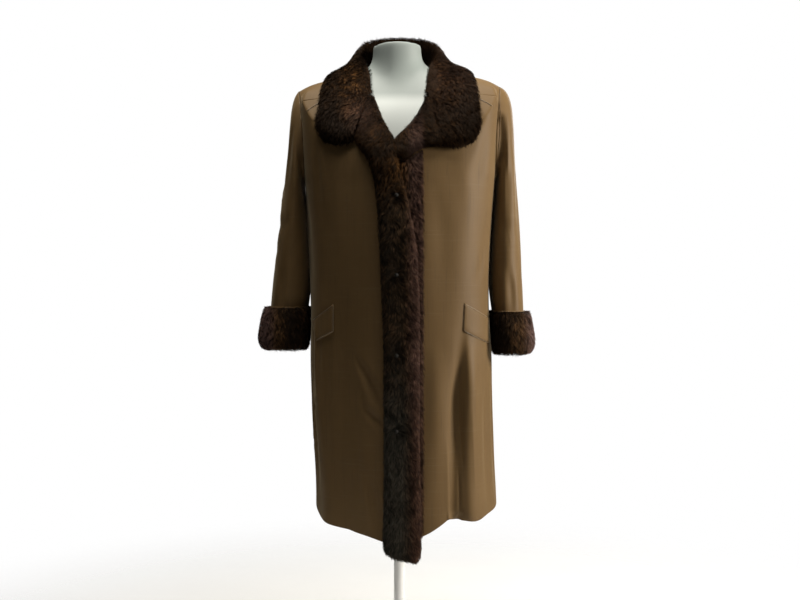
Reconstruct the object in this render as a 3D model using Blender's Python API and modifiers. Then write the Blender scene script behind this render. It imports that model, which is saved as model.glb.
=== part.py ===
"""A knee-length coat with a fur collar, fur front strips and turned-back fur cuffs, on a limbless dress form.

Units are metres, +Z is up, the coat's front faces -Y and the floor is z = 0. Left and right are the viewer's.
The body of the coat is one surface: a stack of rounded rings, from the hem up to the neckline. A place on it is
an angle (degrees, 0 at the front, positive to the right, 180 at the back) and a level (a row of RINGS, or between
two rows). Every cloth panel is a patch of that surface with a wall; fur and pockets lie on it, moved out.
"""

import math

import bmesh
import bpy
from mathutils import Vector

# ---------------------------------------------------------------- driving dimensions
CLOTH = 0.0025               # cloth with its interlining
SEAM = 0.0003                # gap between neighbouring pieces
LAY = 0.0008                 # gap under a piece that lies on a panel
FUR_STRIP = 0.013            # thickness of the fur along the front edges
FUR_COLLAR = 0.018           # thickness of the collar's fall over the shoulder
LAPEL_CLEAR = 0.0016         # the lapel's fur stands further off the bent cloth
LAP_RISE = FUR_STRIP + CLOTH + 2 * LAY + LAPEL_CLEAR    # the over front is lifted by the fur it laps over
LAP_FROM, LAP_TO = -0.125, -0.052         # across the front, where that lift begins and is complete
LAP_TOP, LAP_FULL_BELOW = 1.275, 1.212    # and the heights where it has faded out and is complete
SHOULDER_DROP = 0.010        # the left shoulder hangs lower
NECKLINE_BACK = 0.010        # the cloth's neckline lies this far outside the visible fur edge

# Rings of the coat's body. Heights are taken at the sides, the front centre and the back centre.
RING_COLUMNS = ("side_z", "front_z", "back_z", "half_width", "front_depth", "back_depth", "squareness", "dip",
                "centre_x")
RINGS = (
    (0.402, 0.402, 0.405, 0.2020, 0.153, 0.148, 2.50, 2.0, 0.0150),    # hem
    (0.500, 0.500, 0.500, 0.2000, 0.152, 0.146, 2.55, 2.0, 0.0115),
    (0.620, 0.620, 0.620, 0.2000, 0.151, 0.143, 2.60, 2.0, 0.0050),
    (0.740, 0.740, 0.740, 0.2020, 0.151, 0.140, 2.65, 2.0, 0.0030),
    (0.860, 0.860, 0.860, 0.1970, 0.151, 0.136, 2.70, 2.0, 0.0015),
    (0.980, 0.975, 0.980, 0.2005, 0.152, 0.134, 2.75, 2.0, 0.0010),
    (1.075, 1.060, 1.070, 0.2065, 0.151, 0.133, 2.80, 2.0, 0.0010),
    (1.130, 1.110, 1.125, 0.2110, 0.148, 0.132, 2.90, 2.0, 0.0010),    # underarm
    (1.205, 1.142, 1.175, 0.2160, 0.146, 0.129, 2.95, 1.9, 0.0000),
    (1.280, 1.163, 1.220, 0.2195, 0.143, 0.124, 3.00, 1.7, 0.0000),
    (1.3385, 1.176, 1.260, 0.2216, 0.140, 0.117, 3.00, 1.5, 0.0000),   # shoulder point
    (1.3570, 1.184, 1.305, 0.1680, 0.137, 0.106, 2.75, 1.7, 0.0000),
    (1.3700, 1.191, 1.358, 0.1180, 0.133, 0.090, 2.50, 1.8, 0.0000),
    (1.380, 1.198, 1.398, 0.0800, 0.130, 0.072, 2.15, 1.8, -0.0020),   # neckline
    (1.385, 1.206, 1.408, 0.0680, 0.128, 0.064, 2.10, 1.8, -0.0020),   # just inside the neckline
    (1.390, 1.245, 1.415, 0.0600, 0.118, 0.058, 2.05, 1.8, -0.0020),   # the lapels' edges
)
HEM, UNDERARM, SHOULDER, NECK = 0, 7, 10, 13
YOKE_LEVEL = 9.3             # level at which the yoke seams meet the armhole

# Height of the hem round the coat, on the over (left) and the under (right) side of the front centre.
HEM_COLUMNS = ("angle", "height")
HEM_LINE = (
    (-180, 0.405), (-90, 0.412), (-68, 0.389), (-48, 0.383), (-35, 0.378), (-26, 0.375), (-14, 0.369), (-6, 0.353),
    (4, 0.362), (12, 0.376), (16, 0.391), (20, 0.402), (29, 0.398), (41, 0.394), (60, 0.402), (90, 0.414), (180, 0.405),
)

# Folds: angle where each starts at the top and where it ends at the hem, the heights where it fades in and is
# full, half width and depth (a trough is positive, a ridge negative).
FOLD_COLUMNS = ("angle_top", "angle_low", "fade_z", "full_z", "half_width", "depth")
FOLDS = (
    (37, 29, 0.84, 0.56, 0.017, 0.021),
    (26, 20, 0.80, 0.52, 0.020, -0.004),
    (47, 41, 0.86, 0.50, 0.030, -0.005),
    (66, 62, 0.74, 0.45, 0.024, 0.005),
    (-30, -33, 0.92, 0.60, 0.028, 0.006),
    (-46, -50, 0.84, 0.50, 0.026, -0.005),
    (-66, -70, 0.70, 0.45, 0.022, 0.006),
    (112, 116, 0.86, 0.48, 0.026, 0.011),
    (133, 137, 0.80, 0.50, 0.030, -0.006),
    (158, 160, 0.92, 0.52, 0.026, 0.012),
    (-176, -178, 0.84, 0.50, 0.030, -0.006),
    (-154, -152, 0.90, 0.55, 0.024, 0.010),
    (-130, -134, 0.78, 0.48, 0.028, -0.006),
    (-112, -110, 0.84, 0.45, 0.024, 0.010),
)
ARC_PER_RADIAN = 0.185       # mean distance round the skirt for one radian of angle

# Armhole: an oval in angle and level. The yoke closes its top.
ARMHOLE_HALF_ANGLE = 19
ARMHOLE_LOWER_ROWS = 6
ARMHOLE_TOP_COLUMNS = 8
YOKE_FRONT_NECK, YOKE_BACK_NECK = 47, 112       # angles of the yoke seams at the neckline

# Sleeve sections from the armhole to the wrist: outermost and innermost points seen from the front, and half
# depth. The left sleeve swings out a little more.
SLEEVE_COLUMNS = ("outer_x", "outer_z", "inner_x", "inner_z", "mid_y", "half_depth")
SLEEVE = (
    (0.2222, 1.3412, 0.2138, 1.1300, 0.004, 0.0600),
    (0.2320, 1.3365, 0.2138, 1.1210, 0.004, 0.0665),
    (0.2430, 1.3230, 0.2130, 1.1130, 0.005, 0.0705),
    (0.2505, 1.2970, 0.2118, 1.1040, 0.005, 0.0725),
    (0.2545, 1.2530, 0.2100, 1.0920, 0.006, 0.0740),
    (0.2572, 1.1910, 0.2070, 1.0700, 0.006, 0.0745),
    (0.2615, 1.1180, 0.2050, 1.0400, 0.007, 0.0740),
    (0.2665, 1.0450, 0.2000, 1.0000, 0.006, 0.0730),
    (0.2720, 0.9650, 0.1960, 0.9450, 0.004, 0.0715),
    (0.2760, 0.8900, 0.1940, 0.8800, 0.002, 0.0690),
    (0.2780, 0.8300, 0.2000, 0.8270, 0.000, 0.0670),
    (0.2790, 0.7640, 0.2080, 0.7620, -0.002, 0.0660),
    (0.2795, 0.7480, 0.2085, 0.7480, -0.002, 0.0660),
)
# The left sleeve is drawn in at the shoulder and swings out toward the wrist.
SLEEVE_SWING = {"left": (-0.0095, 0.0140), "right": (0.0, 0.0)}
SWING_FROM, SWING_TO = 0.30, 0.95        # shares of the sleeve's length
SLEEVE_DROP = {"left": SHOULDER_DROP, "right": 0.0}     # at the shoulder
SLEEVE_RISE = {"left": 0.013, "right": 0.003}             # at the wrist
# A sleeve that would reach into the body lies flat against its side instead, this far off it.
BESIDE_SLEEVE, BESIDE_WRIST, BESIDE_CUFF = 0.0014, 0.0120, 0.0044
BESIDE_FROM, BESIDE_TO = 0.885, 0.840    # heights between which the sleeve makes room for the cuff
BESIDE_TOP = 1.118

# Cuff: height of each point of its section above the sleeve's end, and how thick the fur is there.
CUFF_COLUMNS = ("rise", "thickness")
CUFF = ((0.082, 0.004), (0.0865, 0.009), (0.083, 0.0145), (0.064, 0.0190), (0.036, 0.0225), (0.012, 0.0245),
        (-0.002, 0.0185), (-0.008, 0.008))
CUFF_INNER = (-0.0006, 0.040, 0.078)     # heights of the points that lie on the sleeve
CUFF_LIP = -0.0040           # the fur turns in under the sleeve's end by this much
CUFF_SQUASH = 0.42           # share of the thickness left where the cuff lies against the body

# Over strip and its lapel, from the bottom tip up: outer (left) and inner (right) edge seen from the front.
STRIP_COLUMNS = ("outer_x", "outer_z", "inner_x", "inner_z")
STRIP_OVER = (
    (-0.0100, 0.3260, 0.0340, 0.3170), (-0.0235, 0.3350, 0.0425, 0.3275), (-0.0335, 0.3520, 0.0445, 0.3500),
    (-0.0315, 0.4300, 0.0428, 0.4300), (-0.0313, 0.5600, 0.0406, 0.5600), (-0.0323, 0.7660, 0.0406, 0.7660),
    (-0.0365, 0.8700, 0.0400, 0.8700), (-0.0406, 0.9745, 0.0344, 0.9745), (-0.0469, 1.0787, 0.0156, 1.0787),
    (-0.0594, 1.1410, -0.0021, 1.1410), (-0.0760, 1.1700, -0.0075, 1.1700), (-0.0950, 1.1980, -0.0136, 1.1990),
    (-0.0884, 1.2220, -0.0235, 1.2220), (-0.0805, 1.2500, -0.0370, 1.2520), (-0.0722, 1.2790, -0.0500, 1.2820),
    (-0.0668, 1.2980, -0.0580, 1.3000),
)
STRIP_UNDER = (
    (0.0440, 0.3660, 0.0020, 0.3660), (0.0505, 0.3760, -0.0100, 0.3760), (0.0508, 0.4500, -0.0120, 0.4500),
    (0.0508, 0.6000, -0.0120, 0.6000), (0.0508, 0.8000, -0.0120, 0.8000), (0.0508, 0.9500, -0.0120, 0.9500),
    (0.0508, 1.0600, -0.0120, 1.0600), (0.0508, 1.1150, -0.0120, 1.1050), (0.0500, 1.1790, -0.0120, 1.1400),
)
LAPEL_UNDER = (
    (0.0030, 1.1530, -0.0170, 1.1560), (0.0180, 1.1635, -0.0200, 1.1740), (0.0350, 1.1745, -0.0180, 1.1900),
    (0.0515, 1.1825, -0.0040, 1.2080), (0.0720, 1.1860, 0.0120, 1.2260), (0.0893, 1.1880, 0.0270, 1.2440),
    (0.0815, 1.2200, 0.0390, 1.2620), (0.0733, 1.2540, 0.0500, 1.2800), (0.0668, 1.2800, 0.0570, 1.2960),
)

# Collar, from a front end round to the back centre: its outer edge seen from the front (or the back), the crest
# where it rolls over, and the angle of the neckline point below that crest.
COLLAR_COLUMNS = ("edge_x", "edge_z", "crest_x", "crest_y", "crest_z", "neck_angle")
COLLAR_FRONT_LEFT = (
    (0.0985, 1.1900, 0.0640, -0.080, 1.3130, 52),
    (0.1290, 1.1870, 0.0655, -0.072, 1.3290, 57),
    (0.1560, 1.1950, 0.0668, -0.061, 1.3450, 63),
    (0.1720, 1.2200, 0.0690, -0.048, 1.3600, 70),
    (0.1765, 1.2560, 0.0730, -0.033, 1.3760, 77),
    (0.1740, 1.2960, 0.0780, -0.015, 1.3940, 85),
)
COLLAR_FRONT_RIGHT = (
    (0.0915, 1.1830, 0.0600, -0.080, 1.3130, 52),
    (0.1200, 1.1800, 0.0628, -0.072, 1.3270, 57),
    (0.1480, 1.1920, 0.0650, -0.060, 1.3420, 63),
    (0.1665, 1.2140, 0.0680, -0.047, 1.3580, 70),
    (0.1735, 1.2480, 0.0710, -0.032, 1.3740, 77),
    (0.1720, 1.2920, 0.0740, -0.015, 1.3920, 85),
)
# From the shoulder ridge to the back centre the edge is given by angle and level.
COLLAR_BACK_COLUMNS = ("edge_angle", "edge_level", "crest_x", "crest_y", "crest_z", "neck_angle")
COLLAR_BACK = (
    (90, 11.18, 0.0850, 0.003, 1.4100, 94),
    (103, 11.22, 0.0880, 0.018, 1.4220, 103),
    (117, 11.28, 0.0870, 0.034, 1.4350, 115),
    (134, 11.36, 0.0770, 0.054, 1.4490, 132),
    (157, 11.52, 0.0490, 0.073, 1.4610, 156),
    (180, 11.60, 0.0000, 0.081, 1.4660, 180),
)

# Pocket welts seen from the front: the end nearest the front edge, and how far round they reach.
WELT_FRONT_X = {"left": -0.1405, "right": 0.1350}
WELT_FRONT_TOP_Z = 0.860
WELT_HEIGHT = 0.060
WELT_LENGTH = 0.135
WELT_SLOPE = 0.27
WELT_THICKNESS = 0.0024

# Fasteners on the over strip.
FASTENER_X = -0.0060
FASTENER_HEIGHTS = (1.0790, 0.9170, 0.7500, 0.5930)
FASTENER_RADIUS = 0.0055
FASTENER_THICKNESS = 0.0032

# Dress form: rings as for the coat, up to the cut neck.
FORM_RINGS = (
    (0.700, 0.700, 0.700, 0.158, 0.100, 0.098, 2.2, 2.0, 0.000),
    (0.790, 0.790, 0.790, 0.170, 0.112, 0.108, 2.2, 2.0, 0.000),
    (0.900, 0.900, 0.900, 0.150, 0.103, 0.095, 2.2, 2.0, 0.000),
    (1.000, 1.000, 1.000, 0.132, 0.098, 0.086, 2.2, 2.0, 0.000),
    (1.100, 1.085, 1.100, 0.150, 0.118, 0.098, 2.3, 2.0, 0.000),
    (1.190, 1.130, 1.170, 0.166, 0.124, 0.106, 2.4, 2.0, 0.000),
    (1.270, 1.165, 1.225, 0.178, 0.120, 0.106, 2.6, 2.0, 0.000),
    (1.3300, 1.200, 1.290, 0.181, 0.112, 0.098, 2.6, 2.0, 0.000),
    (1.3555, 1.235, 1.335, 0.160, 0.104, 0.088, 2.5, 2.0, 0.000),
    (1.3660, 1.275, 1.365, 0.112, 0.090, 0.076, 2.3, 2.0, -0.002),
    (1.3780, 1.315, 1.380, 0.070, 0.068, 0.062, 2.1, 2.0, -0.004),
    (1.3930, 1.350, 1.395, 0.0570, 0.054, 0.056, 2.0, 2.0, -0.005),
    (1.4100, 1.390, 1.410, 0.0540, 0.050, 0.054, 2.0, 2.0, -0.0055),
    (1.4235, 1.4235, 1.4235, 0.0540, 0.050, 0.054, 2.0, 2.0, -0.0055),
    (1.4277, 1.4277, 1.4277, 0.0515, 0.0475, 0.0515, 2.0, 2.0, -0.0055),
)
FORM_STEPS = 28
POLE_RADIUS = 0.0125
BASE_RADIUS = 0.165
BASE_THICKNESS = 0.016
BASE_BEVEL = 0.004
ROUND_STEPS = 40

PANEL_ROWS_SKIRT = 13        # rows from hem to underarm
PANEL_ROWS_TOP = 5           # rows from the yoke level to the neckline
FRONT_COLUMNS = 15
BACK_COLUMNS = 24


# ---------------------------------------------------------------- surface of the body
def blend_rows(rows, at):
    """A row between two rows of a table, on a smooth curve through all of them."""
    last = len(rows) - 1
    at = min(max(at, 0.0), float(last))
    low = min(int(at), last - 1)
    f = at - low
    before, here = rows[max(low - 1, 0)], rows[low]
    after, beyond = rows[low + 1], rows[min(low + 2, last)]
    result = []
    for a, b, c, d in zip(before, here, after, beyond):
        slope_b, slope_c = slope_between(a, b, c), slope_between(b, c, d)
        result.append(b + f * slope_b + f * f * (3 * (c - b) - 2 * slope_b - slope_c)
                      + f ** 3 * (2 * (b - c) + slope_b + slope_c))
    return result


def slope_between(before, here, after):
    """Slope at the middle one of three values, such that a curve through them never swings past them."""
    rise, fall = here - before, after - here
    if rise * fall <= 0:
        return 0.0
    return math.copysign(min(abs(rise + fall) / 2, 3 * abs(rise), 3 * abs(fall)), rise)


def smooth_step(value):
    value = min(max(value, 0.0), 1.0)
    return value * value * (3 - 2 * value)


def table_value(rows, key):
    """Linear reading of a two-column table."""
    for (a, va), (b, vb) in zip(rows, rows[1:]):
        if key <= b:
            return va + (vb - va) * smooth_step((key - a) / (b - a))
    return rows[-1][1]


def wrap(angle):
    return (angle + 180.0) % 360.0 - 180.0


def ring_point(rows, angle, level, hem=False):
    """Point of a stack of rings, with no folds. Below the lowest ring it runs straight down."""
    side_z, front_z, back_z, width, front, back, square, dip, centre = blend_rows(rows, level)
    turn = math.radians(angle)
    sine, cosine = math.sin(turn), math.cos(turn)
    power = 2.0 / square
    x = centre + math.copysign(width * abs(sine) ** power, sine)
    depth = front if cosine > 0 else back
    y = -math.copysign(depth * abs(cosine) ** power, cosine)
    end_z = front_z if cosine > 0 else back_z
    if hem and level < 1:
        line = table_value(HEM_LINE, wrap(angle))
        side_z = end_z = line + (rows[1][0] - line) * level
    z = side_z + (end_z - side_z) * abs(cosine) ** dip
    return Vector((x, y, z - SHOULDER_DROP * smooth_step(-x / 0.20) * smooth_step((z - 1.08) / 0.22)))


def fold_height(angle, z):
    """How far the folds move the cloth out (in, where negative) at an angle and a height."""
    total = 0.0
    for angle_top, angle_low, fade_z, full_z, half_width, depth in FOLDS:
        if z > fade_z:
            continue
        along = (fade_z - z) / (fade_z - HEM_LINE[0][1])
        centre = angle_top + (angle_low - angle_top) * min(along, 1.0)
        across = math.radians(wrap(angle - centre)) * ARC_PER_RADIAN / half_width
        total -= depth * smooth_step((fade_z - z) / (fade_z - full_z)) * math.exp(-across * across)
    return total


def lap_height(x, z):
    """Lift of the over front, which lies on the fur of the under front."""
    height = smooth_step((LAP_TOP - z) / (LAP_TOP - LAP_FULL_BELOW))
    return LAP_RISE * smooth_step((x - LAP_FROM) / (LAP_TO - LAP_FROM)) * height


def surface(angle, level, out=0.0, over=False):
    """Point of the coat's outer face, moved out."""
    step = 0.25
    here = ring_point(RINGS, angle, level, hem=True)
    level = max(level, 0.0)
    along = ring_point(RINGS, angle + step, level) - ring_point(RINGS, angle - step, level)
    low, high = max(level - 0.1, 0.0), min(level + 0.1, len(RINGS) - 1.0)
    upward = ring_point(RINGS, angle, high) - ring_point(RINGS, angle, low)
    normal = along.cross(upward).normalized()
    lift = lap_height(here.x, here.z) if over else 0.0
    return here + normal * (out + lift + fold_height(angle, here.z))


def place(x, z, front=True):
    """Angle and level of the body's point that is seen at x and z from the front (or the back)."""
    low, high = -1.0, float(len(RINGS) - 1)
    angle = 0.0
    for _ in range(30):
        level = (low + high) / 2
        row = blend_rows(RINGS, level)
        share = min(abs(x - row[8]) / row[3], 1.0)
        angle = math.degrees(math.asin(share ** (row[6] / 2.0)))
        angle = math.copysign(angle if front else 180.0 - angle, x - row[8])
        if ring_point(RINGS, angle, level, hem=True).z < z:
            low = level
        else:
            high = level
    return angle, level


def seen_at(x, z, out=0.0, over=False, front=True):
    """The body's point seen at x and z, moved out."""
    angle, level = place(x, z, front)
    point = surface(angle, level, out, over)
    if level <= 0.001:
        point.z = z
    return point


# ---------------------------------------------------------------- mesh making
def make_object(name, vertices, faces, material):
    """A closed mesh, facing out, shaded smooth."""
    mesh = bpy.data.meshes.new(name)
    mesh.from_pydata([tuple(v) for v in vertices], [], faces)
    work = bmesh.new()
    work.from_mesh(mesh)
    bmesh.ops.recalc_face_normals(work, faces=work.faces)
    if work.calc_volume(signed=True) < 0:
        bmesh.ops.reverse_faces(work, faces=work.faces)
    work.to_mesh(mesh)
    work.free()
    mesh.shade_smooth()
    mesh.set_sharp_from_angle(angle=math.radians(50))
    item = bpy.data.objects.new(name, mesh)
    item.data.materials.append(material)
    COAT.objects.link(item)
    return item


def wall(name, outer, inner, material, around=False):
    """Two skins of one grid and the rims that join them. around: the grid's columns close on themselves."""
    rows, columns = len(outer), len(outer[0])
    vertices = [p for row in outer for p in row] + [p for row in inner for p in row]
    half = rows * columns
    faces = []
    last = columns if around else columns - 1
    for i in range(rows - 1):
        for j in range(last):
            a, b = i * columns + j, i * columns + (j + 1) % columns
            c, d = b + columns, a + columns
            faces += [(a, b, c), (a, c, d), (half + c, half + b, half + a), (half + d, half + c, half + a)]
    for i in (0, rows - 1):
        for j in range(last):
            a, b = i * columns + j, i * columns + (j + 1) % columns
            faces.append((a, b, half + b, half + a))
    if not around:
        for j in (0, columns - 1):
            for i in range(rows - 1):
                a, b = i * columns + j, (i + 1) * columns + j
                faces.append((a, b, half + b, half + a))
    return make_object(name, vertices, faces, material)


def loft(name, sections, material, ring=False):
    """Closed sections joined in order. ring: the last section joins the first, or else the ends are capped."""
    size = len(sections[0])
    vertices = [p for section in sections for p in section]
    faces = []
    count = len(sections)
    for i in range(count if ring else count - 1):
        for j in range(size):
            a, b = i * size + j, i * size + (j + 1) % size
            after = ((i + 1) % count) * size
            faces.append((a, b, after + (j + 1) % size, after + j))
    if not ring:
        faces.append(tuple(reversed(range(size))))
        faces.append(tuple(range((count - 1) * size, count * size)))
    return make_object(name, vertices, faces, material)


def trim(grid_outer, grid_inner, sides):
    """Draws the named borders of a panel in by half a seam gap."""
    rows, columns = len(grid_outer), len(grid_outer[0])
    for side in sides:
        if side in ("first column", "last column"):
            j, k = (0, 1) if side == "first column" else (columns - 1, columns - 2)
            pairs = [((i, j), (i, k)) for i in range(rows)]
        else:
            i, k = (0, 1) if side == "first row" else (rows - 1, rows - 2)
            pairs = [((i, j), (k, j)) for j in range(columns)]
        for (i, j), (m, n) in pairs:
            shift = (grid_outer[m][n] - grid_outer[i][j]).normalized() * (SEAM / 2)
            grid_outer[i][j] = grid_outer[i][j] + shift
            grid_inner[i][j] = grid_inner[i][j] + shift


def finish_material(name, colour, roughness, metallic=0.0):
    material = bpy.data.materials.new(name)
    material.use_nodes = True
    shader = material.node_tree.nodes["Principled BSDF"]
    shader.inputs["Base Color"].default_value = (*colour, 1.0)
    shader.inputs["Roughness"].default_value = roughness
    shader.inputs["Metallic"].default_value = metallic
    material.diffuse_color = (*colour, 1.0)
    return material


# ---------------------------------------------------------------- seams of the body
def armhole_half_angle(level):
    """Half angle of the armhole at a level, 0 at the underarm and the shoulder point."""
    middle, half = (UNDERARM + SHOULDER) / 2, (SHOULDER - UNDERARM) / 2
    return ARMHOLE_HALF_ANGLE * math.sqrt(max(0.0, 1.0 - ((level - middle) / half) ** 2))


def panel_levels():
    """The levels of the panels' rows, denser round the armhole's lower end."""
    skirt = [UNDERARM * i / PANEL_ROWS_SKIRT for i in range(PANEL_ROWS_SKIRT)]
    middle, half = (UNDERARM + SHOULDER) / 2, (SHOULDER - UNDERARM) / 2
    end = math.acos((middle - YOKE_LEVEL) / half)
    arm = [middle - half * math.cos(end * i / ARMHOLE_LOWER_ROWS) for i in range(ARMHOLE_LOWER_ROWS)]
    top = [YOKE_LEVEL + (NECK - YOKE_LEVEL) * i / PANEL_ROWS_TOP for i in range(PANEL_ROWS_TOP + 1)]
    return skirt + arm + top


def side_angle(level, back):
    """Angle, from the front, of a front or back panel's outer border."""
    turn = 1 if back else -1
    if level <= UNDERARM:
        return 90.0
    if level <= YOKE_LEVEL:
        return 90.0 + turn * armhole_half_angle(level)
    at_armhole = 90.0 + turn * armhole_half_angle(YOKE_LEVEL)
    at_neck = YOKE_BACK_NECK if back else YOKE_FRONT_NECK
    return at_armhole + (at_neck - at_armhole) * (level - YOKE_LEVEL) / (NECK - YOKE_LEVEL)


def front_edge_x(level, over):
    """Where a front's own edge lies, hidden under its fur strip."""
    z = ring_point(RINGS, 0, level).z
    if not over:
        return -0.006 - 0.012 * smooth_step((z - 1.07) / 0.07)
    rows = [(row[3], row[2]) for row in STRIP_OVER[2:12]]
    return table_value(rows, z) - NECKLINE_BACK


def edge_angle(level, over):
    row = blend_rows(RINGS, level)
    away = front_edge_x(level, over) - row[8]
    return math.copysign(math.degrees(math.asin((abs(away) / row[3]) ** (row[6] / 2.0))), away)


def spread(start, end, count, dense_at=None):
    """Values from start to end, closer together round dense_at."""
    fine = 400
    weights = []
    for i in range(fine):
        value = start + (end - start) * (i + 0.5) / fine
        weights.append(1.0 if dense_at is None else 1.0 + 1.8 * math.exp(-((value - dense_at) / 10.0) ** 2))
    total, running, values = sum(weights), 0.0, [start]
    for i, weight in enumerate(weights):
        running += weight
        while len(values) < count - 1 and running >= total * len(values) / (count - 1):
            values.append(start + (end - start) * (i + 1) / fine)
    return values[:count - 1] + [end]


def make_front(name, side, over, material):
    outer, inner = [], []
    for level in panel_levels():
        start = edge_angle(level, over)
        end = side * side_angle(level, back=False)
        angles = spread(start, end, FRONT_COLUMNS, 31 if side > 0 else -33)
        outer.append([surface(a, level, 0.0, over) for a in angles])
        inner.append([surface(a, level, -CLOTH, over) for a in angles])
    trim(outer, inner, ("last column",))
    return wall(name, outer, inner, material)


def make_back(material):
    outer, inner = [], []
    for level in panel_levels():
        start = side_angle(level, back=True)
        angles = spread(start, 360.0 - start, BACK_COLUMNS)
        outer.append([surface(a, level) for a in angles])
        inner.append([surface(a, level, -CLOTH) for a in angles])
    trim(outer, inner, ("first column", "last column"))
    return wall("back", outer, inner, material)


def armhole_top():
    """Angle and level along the armhole's upper part, from the front yoke seam to the back one."""
    middle, half = (UNDERARM + SHOULDER) / 2, (SHOULDER - UNDERARM) / 2
    end = math.acos((YOKE_LEVEL - middle) / half)
    places = []
    for i in range(ARMHOLE_TOP_COLUMNS + 1):
        turn = -end + 2 * end * i / ARMHOLE_TOP_COLUMNS
        places.append((90.0 + ARMHOLE_HALF_ANGLE * math.sin(turn), middle + half * math.cos(turn)))
    return places


def make_yoke(name, side, material):
    outer, inner = [], []
    steps = ARMHOLE_TOP_COLUMNS
    for i in range(PANEL_ROWS_TOP + 1):
        share = i / PANEL_ROWS_TOP
        outer_row, inner_row = [], []
        for j, (angle, level) in enumerate(armhole_top()):
            neck_angle = YOKE_FRONT_NECK + (YOKE_BACK_NECK - YOKE_FRONT_NECK) * j / steps
            here = side * (angle + (neck_angle - angle) * share)
            at = level + (NECK - level) * share
            outer_row.append(surface(here, at))
            inner_row.append(surface(here, at, -CLOTH))
        outer.append(outer_row)
        inner.append(inner_row)
    trim(outer, inner, ("first column", "last column", "first row"))
    return wall(name, outer, inner, material)


# ---------------------------------------------------------------- sleeves and cuffs
def armhole_loop(side):
    """The armhole's points, from the underarm up the front, over the shoulder and down the back."""
    levels = [level for level in panel_levels() if UNDERARM <= level < YOKE_LEVEL]
    places = [(90.0 - armhole_half_angle(level), level) for level in levels]
    places += armhole_top()
    places += [(90.0 + armhole_half_angle(level), level) for level in reversed(levels[1:])]
    return [surface(side * angle, level) for angle, level in places]


def sleeve_section(side, station):
    """Centre, direction to the outer edge, half height and half depth of a sleeve section."""
    outer_x, outer_z, inner_x, inner_z, mid_y, half_depth = blend_rows(SLEEVE, station)
    name = "left" if side < 0 else "right"
    down = station / (len(SLEEVE) - 1)
    start, end = SLEEVE_SWING[name]
    outer_x += start + (end - start) * smooth_step((down - SWING_FROM) / (SWING_TO - SWING_FROM))
    lift = SLEEVE_RISE[name] * down - SLEEVE_DROP[name] * (1 - down)
    outer_z += lift
    inner_z += lift
    outermost = Vector((side * outer_x, mid_y, outer_z))
    innermost = Vector((side * inner_x, mid_y, inner_z))
    return (outermost + innermost) / 2, (outermost - innermost).normalized(), (outermost - innermost).length / 2, half_depth


def sleeve_turns(side):
    """For each point of the armhole loop, its turn round the sleeve (0 at the outer edge)."""
    centre, outward, half, depth = sleeve_section(side, 0)
    turns = []
    for point in armhole_loop(side):
        away = point - centre
        turns.append(math.atan2(away.y / depth, away.dot(outward) / half))
    return turns


def sleeve_point(side, station, turn, out=0.0):
    """Point of the smooth sleeve, moved out along the section's own normal."""
    centre, outward, half, depth = sleeve_section(side, station)
    on_oval = outward * (half * math.cos(turn)) + Vector((0, depth * math.sin(turn), 0))
    normal = outward * (math.cos(turn) / half) + Vector((0, math.sin(turn) / depth, 0))
    return centre + on_oval + normal.normalized() * out


def beside_body(point, side, gap):
    """The point, or where it would be in the body or nearer to it than the gap, one just beside the body."""
    if point.z > BESIDE_TOP:
        return point
    row = blend_rows(RINGS, level_at(point.z))
    depth = row[4] if point.y < 0 else row[5]
    share = min(abs(point.y) / depth, 1.0)
    edge = side * row[8] + row[3] * (1.0 - share ** row[6]) ** (1.0 / row[6]) + gap
    return Vector((side * max(side * point.x, edge), point.y, point.z))


def wrist_gap(z):
    return BESIDE_SLEEVE + (BESIDE_WRIST - BESIDE_SLEEVE) * smooth_step((BESIDE_FROM - z) / (BESIDE_FROM - BESIDE_TO))


def make_sleeve(name, side, material):
    loop, turns = armhole_loop(side), sleeve_turns(side)
    stations = len(SLEEVE)
    outer = []
    for station in range(stations):
        hold = max(0.0, 1.0 - station / 3.0) ** 2
        row = []
        for point, turn in zip(loop, turns):
            shift = point - sleeve_point(side, 0, turn)
            spot = sleeve_point(side, station, turn) + shift * hold
            row.append(beside_body(spot, side, wrist_gap(spot.z)))
        outer.append(row)
    outer[0] = [p + Vector((side * SEAM, 0, 0)) for p in outer[0]]
    inner = []
    size = len(turns)
    for i in range(stations):
        row = []
        for j in range(size):
            along = outer[min(i + 1, stations - 1)][j] - outer[max(i - 1, 0)][j]
            around = outer[i][(j + 1) % size] - outer[i][(j - 1) % size]
            normal = along.cross(around).normalized()
            centre = sleeve_section(side, i)[0]
            if normal.dot(outer[i][j] - centre) < 0:
                normal = -normal
            row.append(outer[i][j] - normal * CLOTH)
        inner.append(row)
    inner[0] = [Vector((o.x, p.y, p.z)) for o, p in zip(outer[0], inner[0])]
    return wall(name, outer, inner, material, around=True)


def make_cuff(name, side, material):
    """The turned-back fur: one section carried round the sleeve's end."""
    end = len(SLEEVE) - 1
    base_z = sleeve_section(side, end)[0].z
    sections = []
    for turn in sleeve_turns(side):
        toward_body = max(0.0, -math.cos(turn)) ** 2
        thin = 1.0 - (1.0 - CUFF_SQUASH) * toward_body
        section = []
        for rise, thickness in CUFF:
            section.append(cuff_point(side, turn, base_z + rise, thickness * thin))
        section.append(cuff_point(side, turn, base_z - 0.006, CUFF_LIP))
        section.append(cuff_point(side, turn, base_z - SEAM * 2, CUFF_LIP))
        for rise in CUFF_INNER:
            section.append(cuff_point(side, turn, base_z + rise, LAY * (1.0 + 2.0 * toward_body)))
        sections.append(section)
    return loft(name, sections, material, ring=True)


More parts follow.
